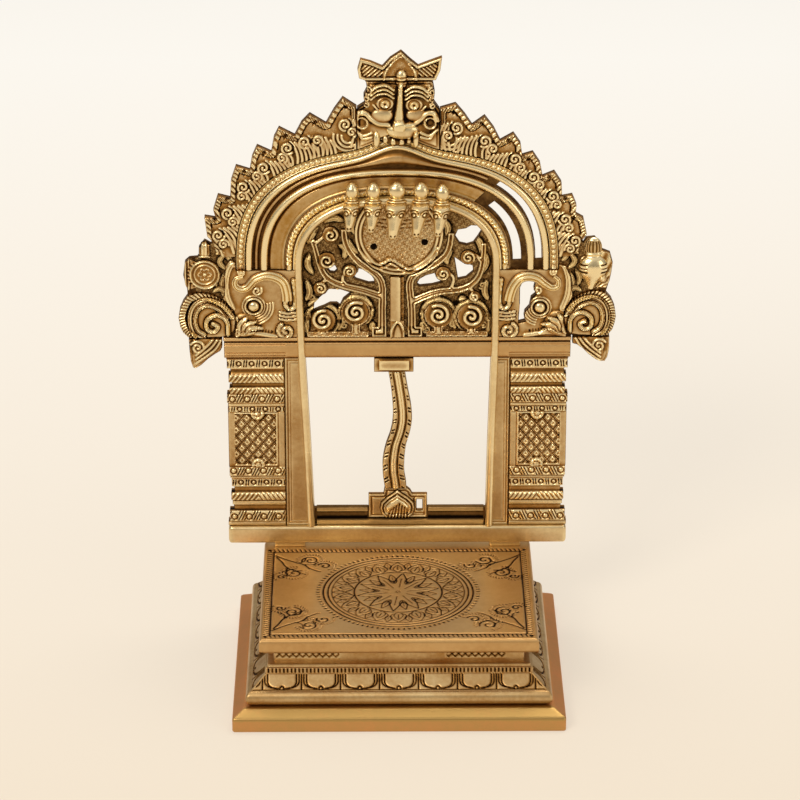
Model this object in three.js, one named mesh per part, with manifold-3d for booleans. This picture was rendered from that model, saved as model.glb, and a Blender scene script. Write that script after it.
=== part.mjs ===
// Deity throne: a hollow brass lotus pedestal that carries a pierced arch panel,
// which lifts off the seat on two tenons.
// Millimetres. X to the viewer's right, Y away from the viewer, Z up.
// The origin is on the floor, under the middle of the pedestal.

import * as THREE from 'three';
import { mergeVertices } from 'three/addons/utils/BufferGeometryUtils.js';
import Module from 'manifold-3d';

const wasm = await Module();
wasm.setup();

// Fits
const gap = 0.3;
const overlap = 0.4;

// Pedestal
const plinthWidth = 160.5;
const plinthDepth = 132;
const plinthFace = 7.2;
const plinthTop = 10.2;
const plinthWall = 11.5;
const flangeReach = 36;
const flangeThickness = 3;
const lotusHeight = 12.8;
const dentilHeight = 5;
const neckHeight = 7.5;
const seatThickness = 7.5;
const seatInset = 13;
const neckInset = 19.8;
const courseWall = 5;
const backStep = 0.85;
const lotusBottom = plinthTop;
const dentilBottom = lotusBottom + lotusHeight;
const neckBottom = dentilBottom + dentilHeight;
const seatBottom = neckBottom + neckHeight;
const seatTop = seatBottom + seatThickness;

// Punched border of the seat
const borderInset = 18;
const borderWidth = 0.8;
const borderDepth = 0.5;

// Screws that draw the seat down on the plinth
const screwRadius = 2;
const screwHeadRadius = 3.6;
const screwHeadHeight = 2.6;
const screwBite = 4.2;
const screwInset = 30.5;

// Depths of the arch panel, from the back to the parts that stand proud
const seatBack = plinthDepth / 2 - seatInset * backStep;
const panelBack = seatBack - 0.15;
const plateFront = panelBack - 2.2;
const faceFront = plateFront - 2.6;
const proudFront = faceFront - 0.6;
const rodFront = faceFront - 2.4;
const footFront = rodFront + 1;
const webFront = faceFront + 1.3;
// A cutter that goes right through the panel runs between these.
const nearSide = faceFront - 20;
const farSide = panelBack + 5;

// Sill, window and lintel
const sillBar = 45.3;
const sillTop = 54.5;
const filletTop = 57.5;
const stepTop = 63.5;
const lintelBottom = 146;
const lintelTop = lintelBottom + 11;
const lintelStep = lintelTop - 2.7;
const lintelFillet = lintelTop - 2;
const bracketLeft = -14.5;
const bracketRight = 15;
const bracketTop = 74;
const capBottom = 138.5;
const footInner = 46.5;
const footOuter = 62;
const tenonWidth = 11;
const tenonThickness = 2.4;
const tenonDepth = 6;
const tenonMiddle = (plateFront + panelBack) / 2 - 1.2;

// Arch
const springZ = lintelTop + 38;
const archFoot = springZ - 2;
const rodReach = 48.4;
const rodHalf = 1.9;
const rodRise = 34;
const riseGain = 0.845;
const roundness = 2.4;
const roundnessGain = 0.007;
const peakLift = 7;
const peakWidth = 14;
const ringInner = rodReach - rodHalf + 0.2;
const ropeOuter = ringInner + 8.5;
const ribInner = ropeOuter + 8;
const ribOuter = ribInner + 3.8;
const outerRibInner = ribOuter + 3.8;
const outerRibOuter = outerRibInner + 3.5;
const beadOuter = outerRibOuter + 4.1;
const peakFrom = ribOuter;
const peakFull = outerRibInner + 0.2;
const crestInner = beadOuter + 0.4;
const lintelHalf = beadOuter + 7.1;
const sillHalf = lintelHalf - 0.5;
const stripOuter = rodReach + 7.6;

// Serpent hood
const hoodX = 0.8;
const hoodZ = springZ + 16.5;
const hoodRadius = 21.8;

const brass = { color: 0xb08a45, roughness: 0.36, metalness: 1 };
const paleBrass = { color: 0xc8a35c, roughness: 0.3, metalness: 1 };
const darkBrass = { color: 0x8a6a34, roughness: 0.5, metalness: 1 };
const copperBrass = { color: 0xa9693f, roughness: 0.45, metalness: 1 };
const steel = { color: 0x7c7a75, roughness: 0.45, metalness: 1 };

const sides = { left: -1, right: 1 };
const throne = new THREE.Group();

// A named mesh in the throne's group.
function addPiece(name, geometry, look) {
  const mesh = new THREE.Mesh(geometry, new THREE.MeshStandardMaterial(look));
  mesh.name = name;
  throne.add(mesh);
}

// Closed three.js geometry to a solid that can be joined and cut.
function toSolid(geometry) {
  const bare = geometry.index ? geometry.toNonIndexed() : geometry.clone();
  bare.deleteAttribute('normal');
  bare.deleteAttribute('uv');
  const merged = mergeVertices(bare, 1e-4);
  return new wasm.Manifold(new wasm.Mesh({
    numProp: 3,
    vertProperties: Float32Array.from(merged.attributes.position.array),
    triVerts: Uint32Array.from(merged.index.array),
  }));
}

// Merges the points that lie closer to a straight run than the eye can tell.
const smallestStep = 0.05;

function toGeometry(solid) {
  const mesh = solid.asOriginal().simplify(smallestStep).getMesh();
  const geometry = new THREE.BufferGeometry();
  geometry.setAttribute('position', new THREE.Float32BufferAttribute(mesh.vertProperties, 3));
  geometry.setIndex([...mesh.triVerts]);
  geometry.computeVertexNormals();
  return geometry;
}

function joined(solids) {
  return solids.reduce((whole, solid) => whole.add(solid));
}

function without(solid, cutters) {
  return cutters.reduce((rest, cutter) => rest.subtract(cutter), solid);
}

// Points of an outline in the panel's plane, as [x, z] pairs.
function outline(pairs) {
  return pairs.map(([x, z]) => new THREE.Vector2(x, z));
}

// A flat piece of the panel: an outline in X and Z, from its front to its back in Y.
function flat(points, front, back, holes = []) {
  const shape = new THREE.Shape(points);
  shape.holes = holes.map((hole) => new THREE.Path(hole));
  const geometry = new THREE.ExtrudeGeometry(shape, { depth: back - front, bevelEnabled: false });
  geometry.rotateX(Math.PI / 2);
  geometry.translate(0, back, 0);
  return toSolid(geometry);
}

function circle(x, z, radius, steps = 24) {
  return Array.from({ length: steps }, (_, i) => {
    const turn = (2 * Math.PI * i) / steps;
    return new THREE.Vector2(x + radius * Math.cos(turn), z + radius * Math.sin(turn));
  });
}

function disc(x, z, radius, front, back, steps = 24) {
  return flat(circle(x, z, radius, steps), front, back);
}

function box(x0, x1, y0, y1, z0, z1) {
  const geometry = new THREE.BoxGeometry(x1 - x0, y1 - y0, z1 - z0);
  geometry.translate((x0 + x1) / 2, (y0 + y1) / 2, (z0 + z1) / 2);
  return toSolid(geometry);
}

// A ribbon of changing width along a smooth line through [x, z] points.
function ribbon(pairs, widthStart, widthEnd, front, back, steps = 24) {
  const line = new THREE.SplineCurve(outline(pairs));
  const near = [];
  const far = [];
  for (let i = 0; i <= steps; i += 1) {
    const t = i / steps;
    const at = line.getPoint(t);
    const along = line.getTangent(t);
    const half = THREE.MathUtils.lerp(widthStart, widthEnd, t) / 2;
    near.push(new THREE.Vector2(at.x - along.y * half, at.y + along.x * half));
    far.unshift(new THREE.Vector2(at.x + along.y * half, at.y - along.x * half));
  }
  return flat([...near, ...far], front, back);
}

// A ribbon that winds inwards from its outer radius to its inner one.
function curl(x, z, outer, inner, start, turns, width, front, back) {
  const steps = Math.ceil(Math.abs(turns) * 8);
  const pairs = Array.from({ length: steps + 1 }, (_, i) => {
    const t = i / steps;
    const radius = THREE.MathUtils.lerp(outer - width / 2, inner, t);
    const turn = start + 2 * Math.PI * turns * t;
    return [x + radius * Math.cos(turn), z + radius * Math.sin(turn)];
  });
  return ribbon(pairs, width, width * 0.6, front, back, Math.ceil(Math.abs(turns) * 9));
}

// A scroll boss: a round base with a curl standing on it.
function scroll(x, z, radius, start, turns, front = proudFront, back = plateFront) {
  const width = radius * 0.26;
  const base = disc(x, z, radius, faceFront + 0.6, back, 16);
  const spiral = curl(x, z, radius, width * 0.7, start, turns, width, front, faceFront + 0.6 + overlap);
  return base.add(spiral);
}

// A solid through rings of equal point count, from its first ring to its last.
function loft(rings) {
  const count = rings[0].length;
  const points = rings.flat();
  const middle = (ring) => ring.reduce((sum, p) => sum.add(p), new THREE.Vector3())
    .divideScalar(count);
  points.push(middle(rings[0]), middle(rings[rings.length - 1]));
  const faces = [];
  for (let r = 0; r + 1 < rings.length; r += 1) {
    for (let i = 0; i < count; i += 1) {
      const a = r * count + i;
      const b = r * count + ((i + 1) % count);
      faces.push(a, b, b + count, a, b + count, a + count);
    }
  }
  const first = rings.length * count;
  const last = (rings.length - 1) * count;
  for (let i = 0; i < count; i += 1) {
    const j = (i + 1) % count;
    faces.push(first, j, i, first + 1, last + i, last + j);
  }
  const geometry = new THREE.BufferGeometry().setFromPoints(points);
  geometry.setIndex(faces);
  return geometry;
}

// A ball stretched to three half-axes.
function bead(x, y, z, rx, ry, rz, steps = 10) {
  const geometry = new THREE.SphereGeometry(1, steps, Math.ceil(steps * 0.6));
  geometry.scale(rx, ry, rz);
  geometry.translate(x, y, z);
  return toSolid(geometry);
}

// Corners of a pedestal course, set in from the plinth's upright faces.
function courseCorners(inset, z) {
  const x = plinthWidth / 2 - inset;
  const front = -(plinthDepth / 2 - inset);
  const back = plinthDepth / 2 - inset * backStep;
  return [[-x, front], [x, front], [x, back], [-x, back]]
    .map(([px, py]) => new THREE.Vector3(px, py, z));
}

// A mitred ring: its section is the outside profile, closed down an upright inner wall.
function course(profile, innerInset, innerBottomInset = innerInset) {
  const top = profile[profile.length - 1][1];
  const bottom = profile[0][1];
  const section = [...profile, [innerInset, top], [innerBottomInset, bottom]];
  return toSolid(ringOf(section));
}

// Carries a closed section of [inset, z] points round the four mitred corners.
function ringOf(section) {
  const count = section.length;
  const points = section.map(([inset, z]) => courseCorners(inset, z));
  const faces = [];
  for (let i = 0; i < count; i += 1) {
    const j = (i + 1) % count;
    for (let c = 0; c < 4; c += 1) {
      const d = (c + 1) % 4;
      faces.push(i * 4 + c, i * 4 + d, j * 4 + d, i * 4 + c, j * 4 + d, j * 4 + c);
    }
  }
  const geometry = new THREE.BufferGeometry().setFromPoints(points.flat());
  geometry.setIndex(faces);
  return geometry;
}

function screwPlaces() {
  const [nearLeft, , farRight] = courseCorners(screwInset, 0);
  return [nearLeft.x, farRight.x].flatMap((x) => [nearLeft.y, farRight.y].map((y) => [x, y]));
}

function post(x, y, radius, z0, z1, steps = 12) {
  const geometry = new THREE.CylinderGeometry(radius, radius, z1 - z0, steps);
  geometry.rotateX(Math.PI / 2);
  geometry.translate(x, y, (z0 + z1) / 2);
  return toSolid(geometry);
}

// Plinth: upright face, sloped shoulder and an inner flange that the screws pull on.
function plinth() {
  const flangeBottom = plinthTop - flangeThickness;
  const section = [
    [0.6, 0], [0, 0.8], [0, plinthFace - 0.8], [0.8, plinthFace], [5.6, plinthTop],
    [flangeReach, plinthTop], [flangeReach, flangeBottom], [plinthWall, flangeBottom],
    [plinthWall, 0],
  ];
  const holes = screwPlaces().map(([x, y]) => post(x, y, screwRadius + gap, 0, plinthTop + 1));
  return without(toSolid(ringOf(section)), holes);
}

// Lotus course: a round torus under a sloped bed of petals.
function lotusCourse() {
  const z = lotusBottom;
  const torus = [
    [7.6, z], [7.6, z + 0.8], [6.8, z + 1.5], [6.4, z + 2.8], [6.4, z + 5.2], [6.9, z + 6.5],
    [7.9, z + 7.1], [8.7, z + 7.2],
  ];
  const bed = [[8.7, z + 7.6], [15.4, z + lotusHeight]];
  return joined([course([...torus, ...bed], neckInset + courseWall), ...frontPetals()]);
}

// Seven round-ended petals that stand a little proud of the sloped front.
function frontPetals() {
  const count = 7;
  const bedBottom = lotusBottom + 7.8;
  const bedTop = dentilBottom - 0.2;
  const pitch = (plinthWidth - 2 * 14.5) / count;
  const slope = Math.atan2(15.4 - 8.7, lotusHeight - 7.6);
  const length = (bedTop - bedBottom) / Math.cos(slope);
  return Array.from({ length: count }, (_, i) => {
    const half = pitch * 0.38;
    const petal = new THREE.Shape();
    petal.moveTo(-half, length);
    petal.lineTo(-half, length * 0.4);
    petal.quadraticCurveTo(-half, 0, 0, 0);
    petal.quadraticCurveTo(half, 0, half, length * 0.4);
    petal.lineTo(half, length);
    const geometry = new THREE.ExtrudeGeometry(petal, {
      depth: 1.2, bevelEnabled: false, curveSegments: 5,
    });
    geometry.rotateX(Math.PI / 2 - slope);
    const x = (i - (count - 1) / 2) * pitch;
    geometry.translate(x, -(plinthDepth / 2 - 9.3), bedBottom);
    return toSolid(geometry);
  });
}

function dentilCourse() {
  const z = dentilBottom;
  const band = [
    [16, z], [15.6, z + 0.4], [15.6, z + 3.6], [16.8, z + 3.8], [16.8, z + dentilHeight],
  ];
  return course(band, neckInset + courseWall);
}

// Neck: an upright band with two raised panels in front.
function neckCourse() {
  const z = neckBottom;
  const ring = course([[neckInset, z], [neckInset, z + neckHeight]], neckInset + courseWall);
  const front = -(plinthDepth / 2 - neckInset);
  const panels = [[-60, -28], [22, 52]].map(([x0, x1]) => (
    box(x0, x1, front - 0.8, front + overlap, z + 1.2, z + neckHeight - 1)));
  return joined([ring, ...panels]);
}

// Seat: the round-lipped slab that the image stands on, with mortises for the panel.
function seatSlab() {
  const z = seatBottom;
  const lip = [
    [seatInset + 1.4, z], [seatInset + 0.3, z + 0.9], [seatInset, z + 2.6],
    [seatInset, z + 5.6], [seatInset + 0.4, z + 6.8], [seatInset + 1.5, seatTop],
  ];
  const rings = lip.map(([inset, height]) => courseCorners(inset, height));
  const slab = toSolid(loft(rings));
  const mortises = tenonPlaces().map((x) => box(
    x - tenonWidth / 2 - gap,
    x + tenonWidth / 2 + gap,
    tenonMiddle - tenonThickness / 2 - gap,
    tenonMiddle + tenonThickness / 2 + gap,
    seatTop - tenonDepth - gap,
    seatTop + 1,
  ));
  const holes = screwPlaces().map(([x, y]) => (
    post(x, y, screwRadius + gap, z - 1, z + screwBite + gap)));
  return without(slab, [...mortises, ...holes, seatBorder()]);
}

// A narrow groove, the inner line of the punched border, that frames the seat.
function seatBorder() {
  const frame = (inset) => box(
    -plinthWidth / 2 + borderInset + inset,
    plinthWidth / 2 - borderInset - inset,
    -plinthDepth / 2 + borderInset + 1.2 + inset,
    footFront - 5 - inset,
    seatTop - borderDepth,
    seatTop + 1,
  );
  return frame(0).subtract(frame(borderWidth));
}

function tieScrew([x, y]) {
  const under = plinthTop - flangeThickness;
  const head = post(x, y, screwHeadRadius, under - screwHeadHeight, under, 6);
  return head.add(post(x, y, screwRadius, under - overlap, seatBottom + screwBite));
}

function tenonPlaces() {
  const middle = (footInner + footOuter) / 2;
  return [-middle, middle];
}

// Sill: a plain rounded bar on two feet, with a tenon under each foot.
function sillBeam() {
  const front = rodFront;
  const bar = flat(roundedBar(sillHalf, sillBar, sillTop, 2.4), front, panelBack);
  const feet = [-1, 1].map((side) => {
    const inner = side * footInner;
    const outer = side * footOuter;
    return box(Math.min(inner, outer), Math.max(inner, outer), footFront, panelBack, seatTop,
      sillBar + overlap);
  });
  const tenons = tenonPlaces().map((x) => box(
    x - tenonWidth / 2,
    x + tenonWidth / 2,
    tenonMiddle - tenonThickness / 2,
    tenonMiddle + tenonThickness / 2,
    seatTop - tenonDepth,
    seatTop + overlap,
  ));
  return joined([bar, ...feet, ...tenons]);
}

function roundedBar(half, bottom, top, radius) {
  const shape = new THREE.Shape();
  shape.moveTo(-half + radius, bottom);
  shape.lineTo(half - radius, bottom);
  shape.quadraticCurveTo(half, bottom, half, bottom + radius);
  shape.lineTo(half, top - radius);
  shape.quadraticCurveTo(half, top, half - radius, top);
  shape.lineTo(-half + radius, top);
  shape.quadraticCurveTo(-half, top, -half, top - radius);
  shape.lineTo(-half, bottom + radius);
  shape.quadraticCurveTo(-half, bottom, -half + radius, bottom);
  return shape.getPoints(4).slice(0, -1);
}

// Inner edge of the jambs: they lean in towards the foot of the window.
const jambLine = {
  left: [[-43.3, sillTop], [-45, 100], [-47.2, lintelBottom], [-rodReach, archFoot]],
  right: [[46, sillTop], [46.8, 100], [48, lintelBottom], [rodReach, archFoot]],
};

// Jamb: the flat strip between a pillar and the window, under the rod.
function jamb(name) {
  const side = sides[name];
  const line = jambLine[name].slice(0, 3).map(([x, z]) => [x - side * rodHalf, z]);
  const outer = side * (stripOuter - gap);
  const points = [...line, [outer, lintelBottom], [outer, sillTop]];
  return flat(outline(points), faceFront, panelBack);
}

// Bands of a pillar, from its foot up: top of the band, how far its end is set in, and its front
// behind the common face.
const pillarBands = [
  [57, 0, -0.4], [63, 0.7, -0.6], [66, 2.8, 0.3], [68.5, 2.2, -0.1], [73, 1.6, -0.6],
  [76, 3.2, 0.6], [80.7, 2, -0.6], [82, 1.4, 0.2], [87, 1, -0.6], [117, 0.8, 0],
  [120, 0.8, -0.6], [122, 1, 0.1], [127, 0.5, -0.6], [130.5, 1.8, -0.1], [133, 3, 0.6],
  [137.5, 1.4, -0.6], [140.5, 2.4, 0.3], [145.5, 0.7, -0.6], [lintelBottom, 0.4, 0],
];

function pillar(name) {
  const side = sides[name];
  let bottom = sillTop;
  const blocks = pillarBands.map(([top, setIn, behind]) => {
    const edges = [side * stripOuter, side * (sillHalf - setIn)].sort((a, b) => a - b);
    const block = box(edges[0], edges[1], faceFront + behind, panelBack, bottom, top);
    bottom = top;
    return block;
  });
  return joined([...blocks, lozenge(side)]);
}

// The framed field in the middle of a pillar.
function lozenge(side) {
  const middle = side * (stripOuter + 12.5);
  const low = 88.5;
  const high = 115.5;
  const z = (low + high) / 2;
  const points = [[middle - 10.5, z], [middle, low], [middle + 10.5, z], [middle, high]];
  return flat(outline(points), proudFront + 0.2, faceFront + overlap);
}

// Lintel: a long bar with a fillet along its top.
function lintel() {
  const bar = box(-lintelHalf, lintelHalf, faceFront, panelBack, lintelBottom, lintelStep);
  const reach = lintelHalf + gap;
  const fillet = box(-reach, reach, faceFront, panelBack, lintelFillet, lintelTop);
  const web = box(-lintelHalf, lintelHalf, faceFront + 0.7, panelBack, lintelStep - gap,
    lintelFillet + gap);
  return joined([bar, web, fillet]);
}

// Back strip of the window sill, on both sides of the stepped bracket.
function sillStep() {
  const left = jambLine.left[0][0] + rodHalf + gap + 0.4;
  const right = jambLine.right[0][0] - rodHalf - gap - 0.2;
  const fillet = box(left, right, faceFront, panelBack, sillTop, filletTop);
  const strip = box(left, right, plateFront - 0.4, panelBack, filletTop - 0.5, stepTop);
  const lip = box(left, right, plateFront - 1.2, panelBack, stepTop - 2, stepTop);
  const seat = box(bracketLeft - gap, bracketRight + gap, faceFront - 1, panelBack + 1,
    filletTop, stepTop + 1);
  return without(joined([fillet, strip, lip]), [seat]);
}

// Bracket: the stepped seat behind the lotus bud.
function stepBracket() {
  const points = [
    [bracketLeft, filletTop], [bracketRight, filletTop], [bracketRight, 70.5], [7.5, 70.5],
    [6.5, 72.5], [4.8, bracketTop], [-6.4, bracketTop], [-7, 70.5], [bracketLeft, 70.5],
  ];
  const slot = outline([[9.7, 61.5], [12.6, 61.5], [12.6, 67.5], [9.7, 67.5]]);
  return flat(outline(points), plateFront - 0.6, panelBack, [slot]);
}

// Lotus bud: a pointed bud in front of the bracket.
function lotusBud() {
  const half = [
    [0, bracketTop - gap], [2.6, 71.6], [5.6, 69.5], [8.4, 66.5], [9, 63.5], [8.2, 60],
    [5.5, filletTop],
  ];
  const mirrored = half.slice(1).reverse().map(([x, z]) => [-x, z]);
  const back = plateFront - 0.6;
  const layers = [
    [1, back - 1.4, back], [0.8, back - 2.6, back - 1.2], [0.55, back - 3.4, back - 2.4],
  ];
  return joined(layers.map(([share, front, rear]) => {
    const points = [...half, ...mirrored].map(([x, z]) => [x * share, 65 + (z - 65) * share]);
    return flat(outline(points), front, rear);
  }));
}

// Edges of the serpent's tail, as height, left edge and right edge.
const tailEdges = [
  [capBottom, -4.5, 3.7], [130, -3.2, 5], [120, -2.3, 6.8], [112, -2.3, 7.3], [105, -3.5, 6.2],
  [98, -5.8, 4.3], [90, -7.3, 3.5], [83, -7.3, 3.5], [78, -6.8, 4.3], [bracketTop, -6.2, 4.6],
];

// Tail: the strip that winds down the middle of the window, with a ridge along it.
function serpentTail() {
  const left = new THREE.SplineCurve(outline(tailEdges.map(([z, x]) => [x, z]))).getPoints(24);
  const right = new THREE.SplineCurve(outline(tailEdges.map(([z, , x]) => [x, z]))).getPoints(24);
  const strip = flat([...left, ...right.reverse()], faceFront + 0.8, panelBack - 0.4);
  const spine = tailEdges.map(([z, a, b]) => [(a + b) / 2, z]);
  const ridge = ribbon(spine, 2.4, 2.4, faceFront - 0.2, faceFront + 0.8 + overlap);
  return strip.add(ridge).intersect(box(-20, 20, nearSide, farSide, bracketTop, capBottom));
}

function tailCap() {
  const cap = box(-11.5, 8, faceFront - 0.6, panelBack, capBottom, lintelBottom);
  return cap.add(box(-9, 6, faceFront - 1.4, faceFront, 140, lintelBottom - 1));
}

// A point of the arch. The reach is the band's half-span where it springs.
function archPoint(reach, angle) {
  const rise = rodRise + riseGain * (reach - rodReach);
  const power = 2 / (roundness + roundnessGain * (reach - rodReach));
  const c = Math.cos(angle);
  const x = Math.sign(c) * reach * Math.abs(c) ** power;
  const lift = THREE.MathUtils.clamp((reach - peakFrom) / (peakFull - peakFrom), 0, 1)
    * peakLift * Math.exp(-((x / peakWidth) ** 2));
  return [x, springZ + rise * Math.abs(Math.sin(angle)) ** power + lift];
}

// Angles along a stretch of the arch, in degrees from the right spring.
function archAngles(from, to, steps) {
  return Array.from({ length: steps + 1 }, (_, i) => (
    THREE.MathUtils.degToRad(THREE.MathUtils.lerp(from, to, i / steps))));
}

// The height of the arch of a given reach over a place on the left or right.
function archHeight(reach, x) {
  const rise = rodRise + riseGain * (reach - rodReach);
  const power = roundness + roundnessGain * (reach - rodReach);
  const share = Math.max(0, 1 - Math.abs(x / reach) ** power) ** (1 / power);
  const lift = THREE.MathUtils.clamp((reach - peakFrom) / (peakFull - peakFrom), 0, 1)
    * peakLift * Math.exp(-((x / peakWidth) ** 2));
  return springZ + rise * share + lift;
}

// An arched band with straight legs. Its section is a loop of [share across, y] points.
function archBand(inner, outer, section, from = 0, to = 180, steps = 28) {
  const ringAt = (near, far) => section.map(([t, y]) => new THREE.Vector3(
    THREE.MathUtils.lerp(near[0], far[0], t),
    y,
    THREE.MathUtils.lerp(near[1], far[1], t),
  ));
  const rings = archAngles(from, to, steps)
    .map((angle) => ringAt(archPoint(inner, angle), archPoint(outer, angle)));
  if (from === 0) rings.unshift(ringAt([inner, archFoot], [outer, archFoot]));
  if (to === 180) rings.push(ringAt([-inner, archFoot], [-outer, archFoot]));
  return loft(rings);
}

function crowned(front, back) {
  const shoulder = THREE.MathUtils.lerp(front, back, 0.35);
  return [[0, back], [0, shoulder], [0.28, front], [0.72, front], [1, shoulder], [1, back]];
}

function level(front, back) {
  return [[0, back], [0, front], [1, front], [1, back]];
}

// A sunken web between two ribs, from the end of the right side's slot to the left spring.
function webBand(inner, outer, section, from) {
  return archBand(inner + gap, outer - gap, section, from, 180);
}

// Ring under the rod, with the rope moulding beside it.
function ropeBand() {
  const rope = (rodReach + rodHalf + 2 * gap - ringInner) / (ropeOuter - ringInner);
  const section = [
    [0, plateFront], [0, faceFront], [rope, faceFront], [rope + 0.1, proudFront],
    [0.88, proudFront], [1, faceFront + 0.5], [1, plateFront],
  ];
  return archBand(ringInner, ropeOuter, section);
}

// The rod that frames the window and the arch: flat behind and round in front.
function archRod() {
  const section = [
    [-rodHalf, faceFront], [-rodHalf, faceFront - 0.9], [-rodHalf * 0.4, rodFront],
    [rodHalf * 0.4, rodFront], [rodHalf, faceFront - 0.9], [rodHalf, faceFront],
  ];
  const arch = archAngles(0, 180, 26).map((angle) => archPoint(rodReach, angle));
  const line = [...jambLine.right, ...arch, ...[...jambLine.left].reverse()];
  const path = line.map(([x, z]) => new THREE.Vector2(x, z));
  const rings = path.map((at, i) => {
    const before = path[Math.max(i - 1, 0)];
    const after = path[Math.min(i + 1, path.length - 1)];
    const along = after.clone().sub(before).normalize();
    const atEnd = i === 0 || i === path.length - 1;
    return section.map(([offset, y]) => new THREE.Vector3(
      atEnd ? at.x + Math.sign(along.y) * offset : at.x + along.y * offset,
      y,
      atEnd ? at.y : at.y - along.x * offset,
    ));
  });
  return loft(rings);
}

// Tips and notches of the crest, from its lower end to the lion mask: the angle on the arch in
// degrees, and the reach beyond the bead band.
const crestEdge = {
  left: [
    [7.1, 14.6], [13.4, 17.2], [14.2, 11.7], [17.3, 14], [23.6, 14.4], [24.8, 8.7],
    [32.3, 12.7], [38.9, 15.4], [41, 9.6], [46.4, 13.9], [51.4, 17.2], [53.5, 11.1],
    [58.6, 17.4], [62.5, 21.3], [65, 14.9], [69.7, 20.9], [73.3, 24.7], [75.9, 18],
    [79.6, 25.5], [82.5, 31.9], [84.4, 25.3],
  ],
  right: [
    [7.5, 14.5], [13.3, 14], [16.1, 10.8], [19.5, 12.5], [24.1, 12.5], [25.4, 7.9],
    [31.5, 11.2], [37.5, 11.9], [38.8, 6.5], [44.7, 10.6], [50.4, 13], [52.5, 9.1],
    [56.7, 14.2], [61.5, 17.8], [63.5, 12], [68.3, 17.8], [72.9, 23.3], [74.7, 17.2],
    [78.1, 22.9], [81.2, 28.4], [83.9, 24.4],
  ],
};

function crestPoints(name) {
  return crestEdge[name].map(([angle, beyond]) => {
    const [x, z] = archPoint(beadOuter + beyond, THREE.MathUtils.degToRad(angle));
    return [sides[name] * x, z];
  });
}
const crestLower = springZ + 4.2;
const maskSide = { left: -19.3, right: 20.3 };
const archTop = archHeight(crestInner, 0);
const crownBottom = archTop + 28.7;

// Crest: the scalloped leaf border, from a finial up to the lion mask.
function crestOutline(name) {
  const side = sides[name];
  const end = maskSide[name] + side * gap;
  const inner = [];
  for (let angle = 3; angle < 90; angle += 6) {
    const [x, z] = archPoint(crestInner, THREE.MathUtils.degToRad(angle));
    if (x > Math.abs(end)) inner.push([side * x, z]);
  }
  const lower = [
    [side * (crestInner + 6), crestLower], [side * (beadOuter + 10.2), crestLower + 3.2],
    [side * (beadOuter + 11.4), crestLower + 8.2],
  ];
  const start = [side * crestInner, crestLower];
  return outline([
    start, ...inner, [end, archHeight(crestInner, end)], ...crestPoints(name).reverse(),
    ...lower.reverse(),
  ]);
}

// Curls cast on the crest: one leaf scroll under each tip.
function crest(name) {
  const side = sides[name];
  const edge = crestPoints(name);
  const base = flat(crestOutline(name), faceFront + 0.4, plateFront);
  const curls = [];
  for (let i = 1; i < edge.length; i += 3) {
    const [x, z] = edge[i];
    const towards = new THREE.Vector2(-x, hoodZ - z).normalize();
    const at = new THREE.Vector2(x, z).addScaledVector(towards, 7);
    curls.push(curl(at.x, at.y, 3, 0.9, side > 0 ? 2.4 : 0.7, side * 1.1, 1,
      proudFront, faceFront + 0.4 + overlap));
  }
  return joined([base, ...curls]);
}

// Points of the mask: heights are over the top of the arch.
function overArch(pairs) {
  return pairs.map(([x, z]) => [x, archTop + z]);
}

// Lion mask: outline of the head above the arch, and of the jaw that hangs in front.
const maskHead = overArch([
  [-15, 28.3], [-14.5, 24.3], [-16.2, 20.8], [-15.6, 16.8], [-19.3, 14.3], [-19.3, 0.8],
]);
const maskHeadRight = overArch([
  [20.3, 0.8], [20.3, 13.5], [17.4, 17.8], [18, 22.3], [17.2, 26.9], [16.6, 28.3],
]);

function lionMask() {
  const chin = [];
  for (let x = maskSide.left; x <= maskSide.right + 0.01; x += 3.3) {
    chin.push([x, archHeight(crestInner, x) + gap]);
  }
  const head = outline([...maskHead, ...chin, ...maskHeadRight]);
  const skullFront = faceFront - 1.6;
  const skull = flat(head, skullFront, plateFront);
  const jaw = flat(outline(overArch([
    [-17, 10.3], [-11.5, 1.3], [-11.6, -3.2], [-9.6, -5.1], [-8.4, -2.3], [-4, -3.3],
    [0, -4.1], [4.5, -3.3], [7.2, -2.5], [8.2, -5.7], [10, -3.7], [10.6, 1.3], [17, 10.3],
  ])), faceFront - 3, faceFront);
  const lip = bead(0, faceFront - 3, archTop + 3.6, 9.4, 3, 3.8, 12);
  const brows = [-1, 1].map((side) => ribbon(
    overArch([[side * 14, 23.3], [side * 11.4, 25.9], [side * 7.6, 26.1], [side * 5.2, 22.9]]),
    1.6, 2.4, skullFront - 2.2, skullFront + overlap, 12,
  ));
  const eyes = [-7.2, 8].map((x) => bead(x, skullFront - 0.6, archTop + 16.9, 3.7, 3, 3.6));
  const cheeks = [-9.2, 9.8].map((x) => bead(x, skullFront - 0.8, archTop + 9.9, 3.7, 3.2, 3.2));
  const nose = toSolid(loft([
    noseRing(4.7, 3, 5), noseRing(7.7, 3.4, 5.8), noseRing(13.3, 2.3, 5.2),
    noseRing(22.3, 1.6, 4.2), noseRing(28.8, 1.2, 2.7),
  ]));
  const curlZ = archTop + 7.7;
  const curls = [-16.4, 15.8].map((x) => (
    disc(x, curlZ, 3.6, skullFront - 2, skullFront + overlap, 16)
      .subtract(disc(x, curlZ, 1.9, nearSide, skullFront - 0.8, 12))));
  const above = box(-40, 40, nearSide, farSide, crownBottom - gap, crownBottom + 30);
  return joined([skull, jaw, lip, nose, ...brows, ...eyes, ...cheeks, ...curls]).subtract(above);
}

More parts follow.
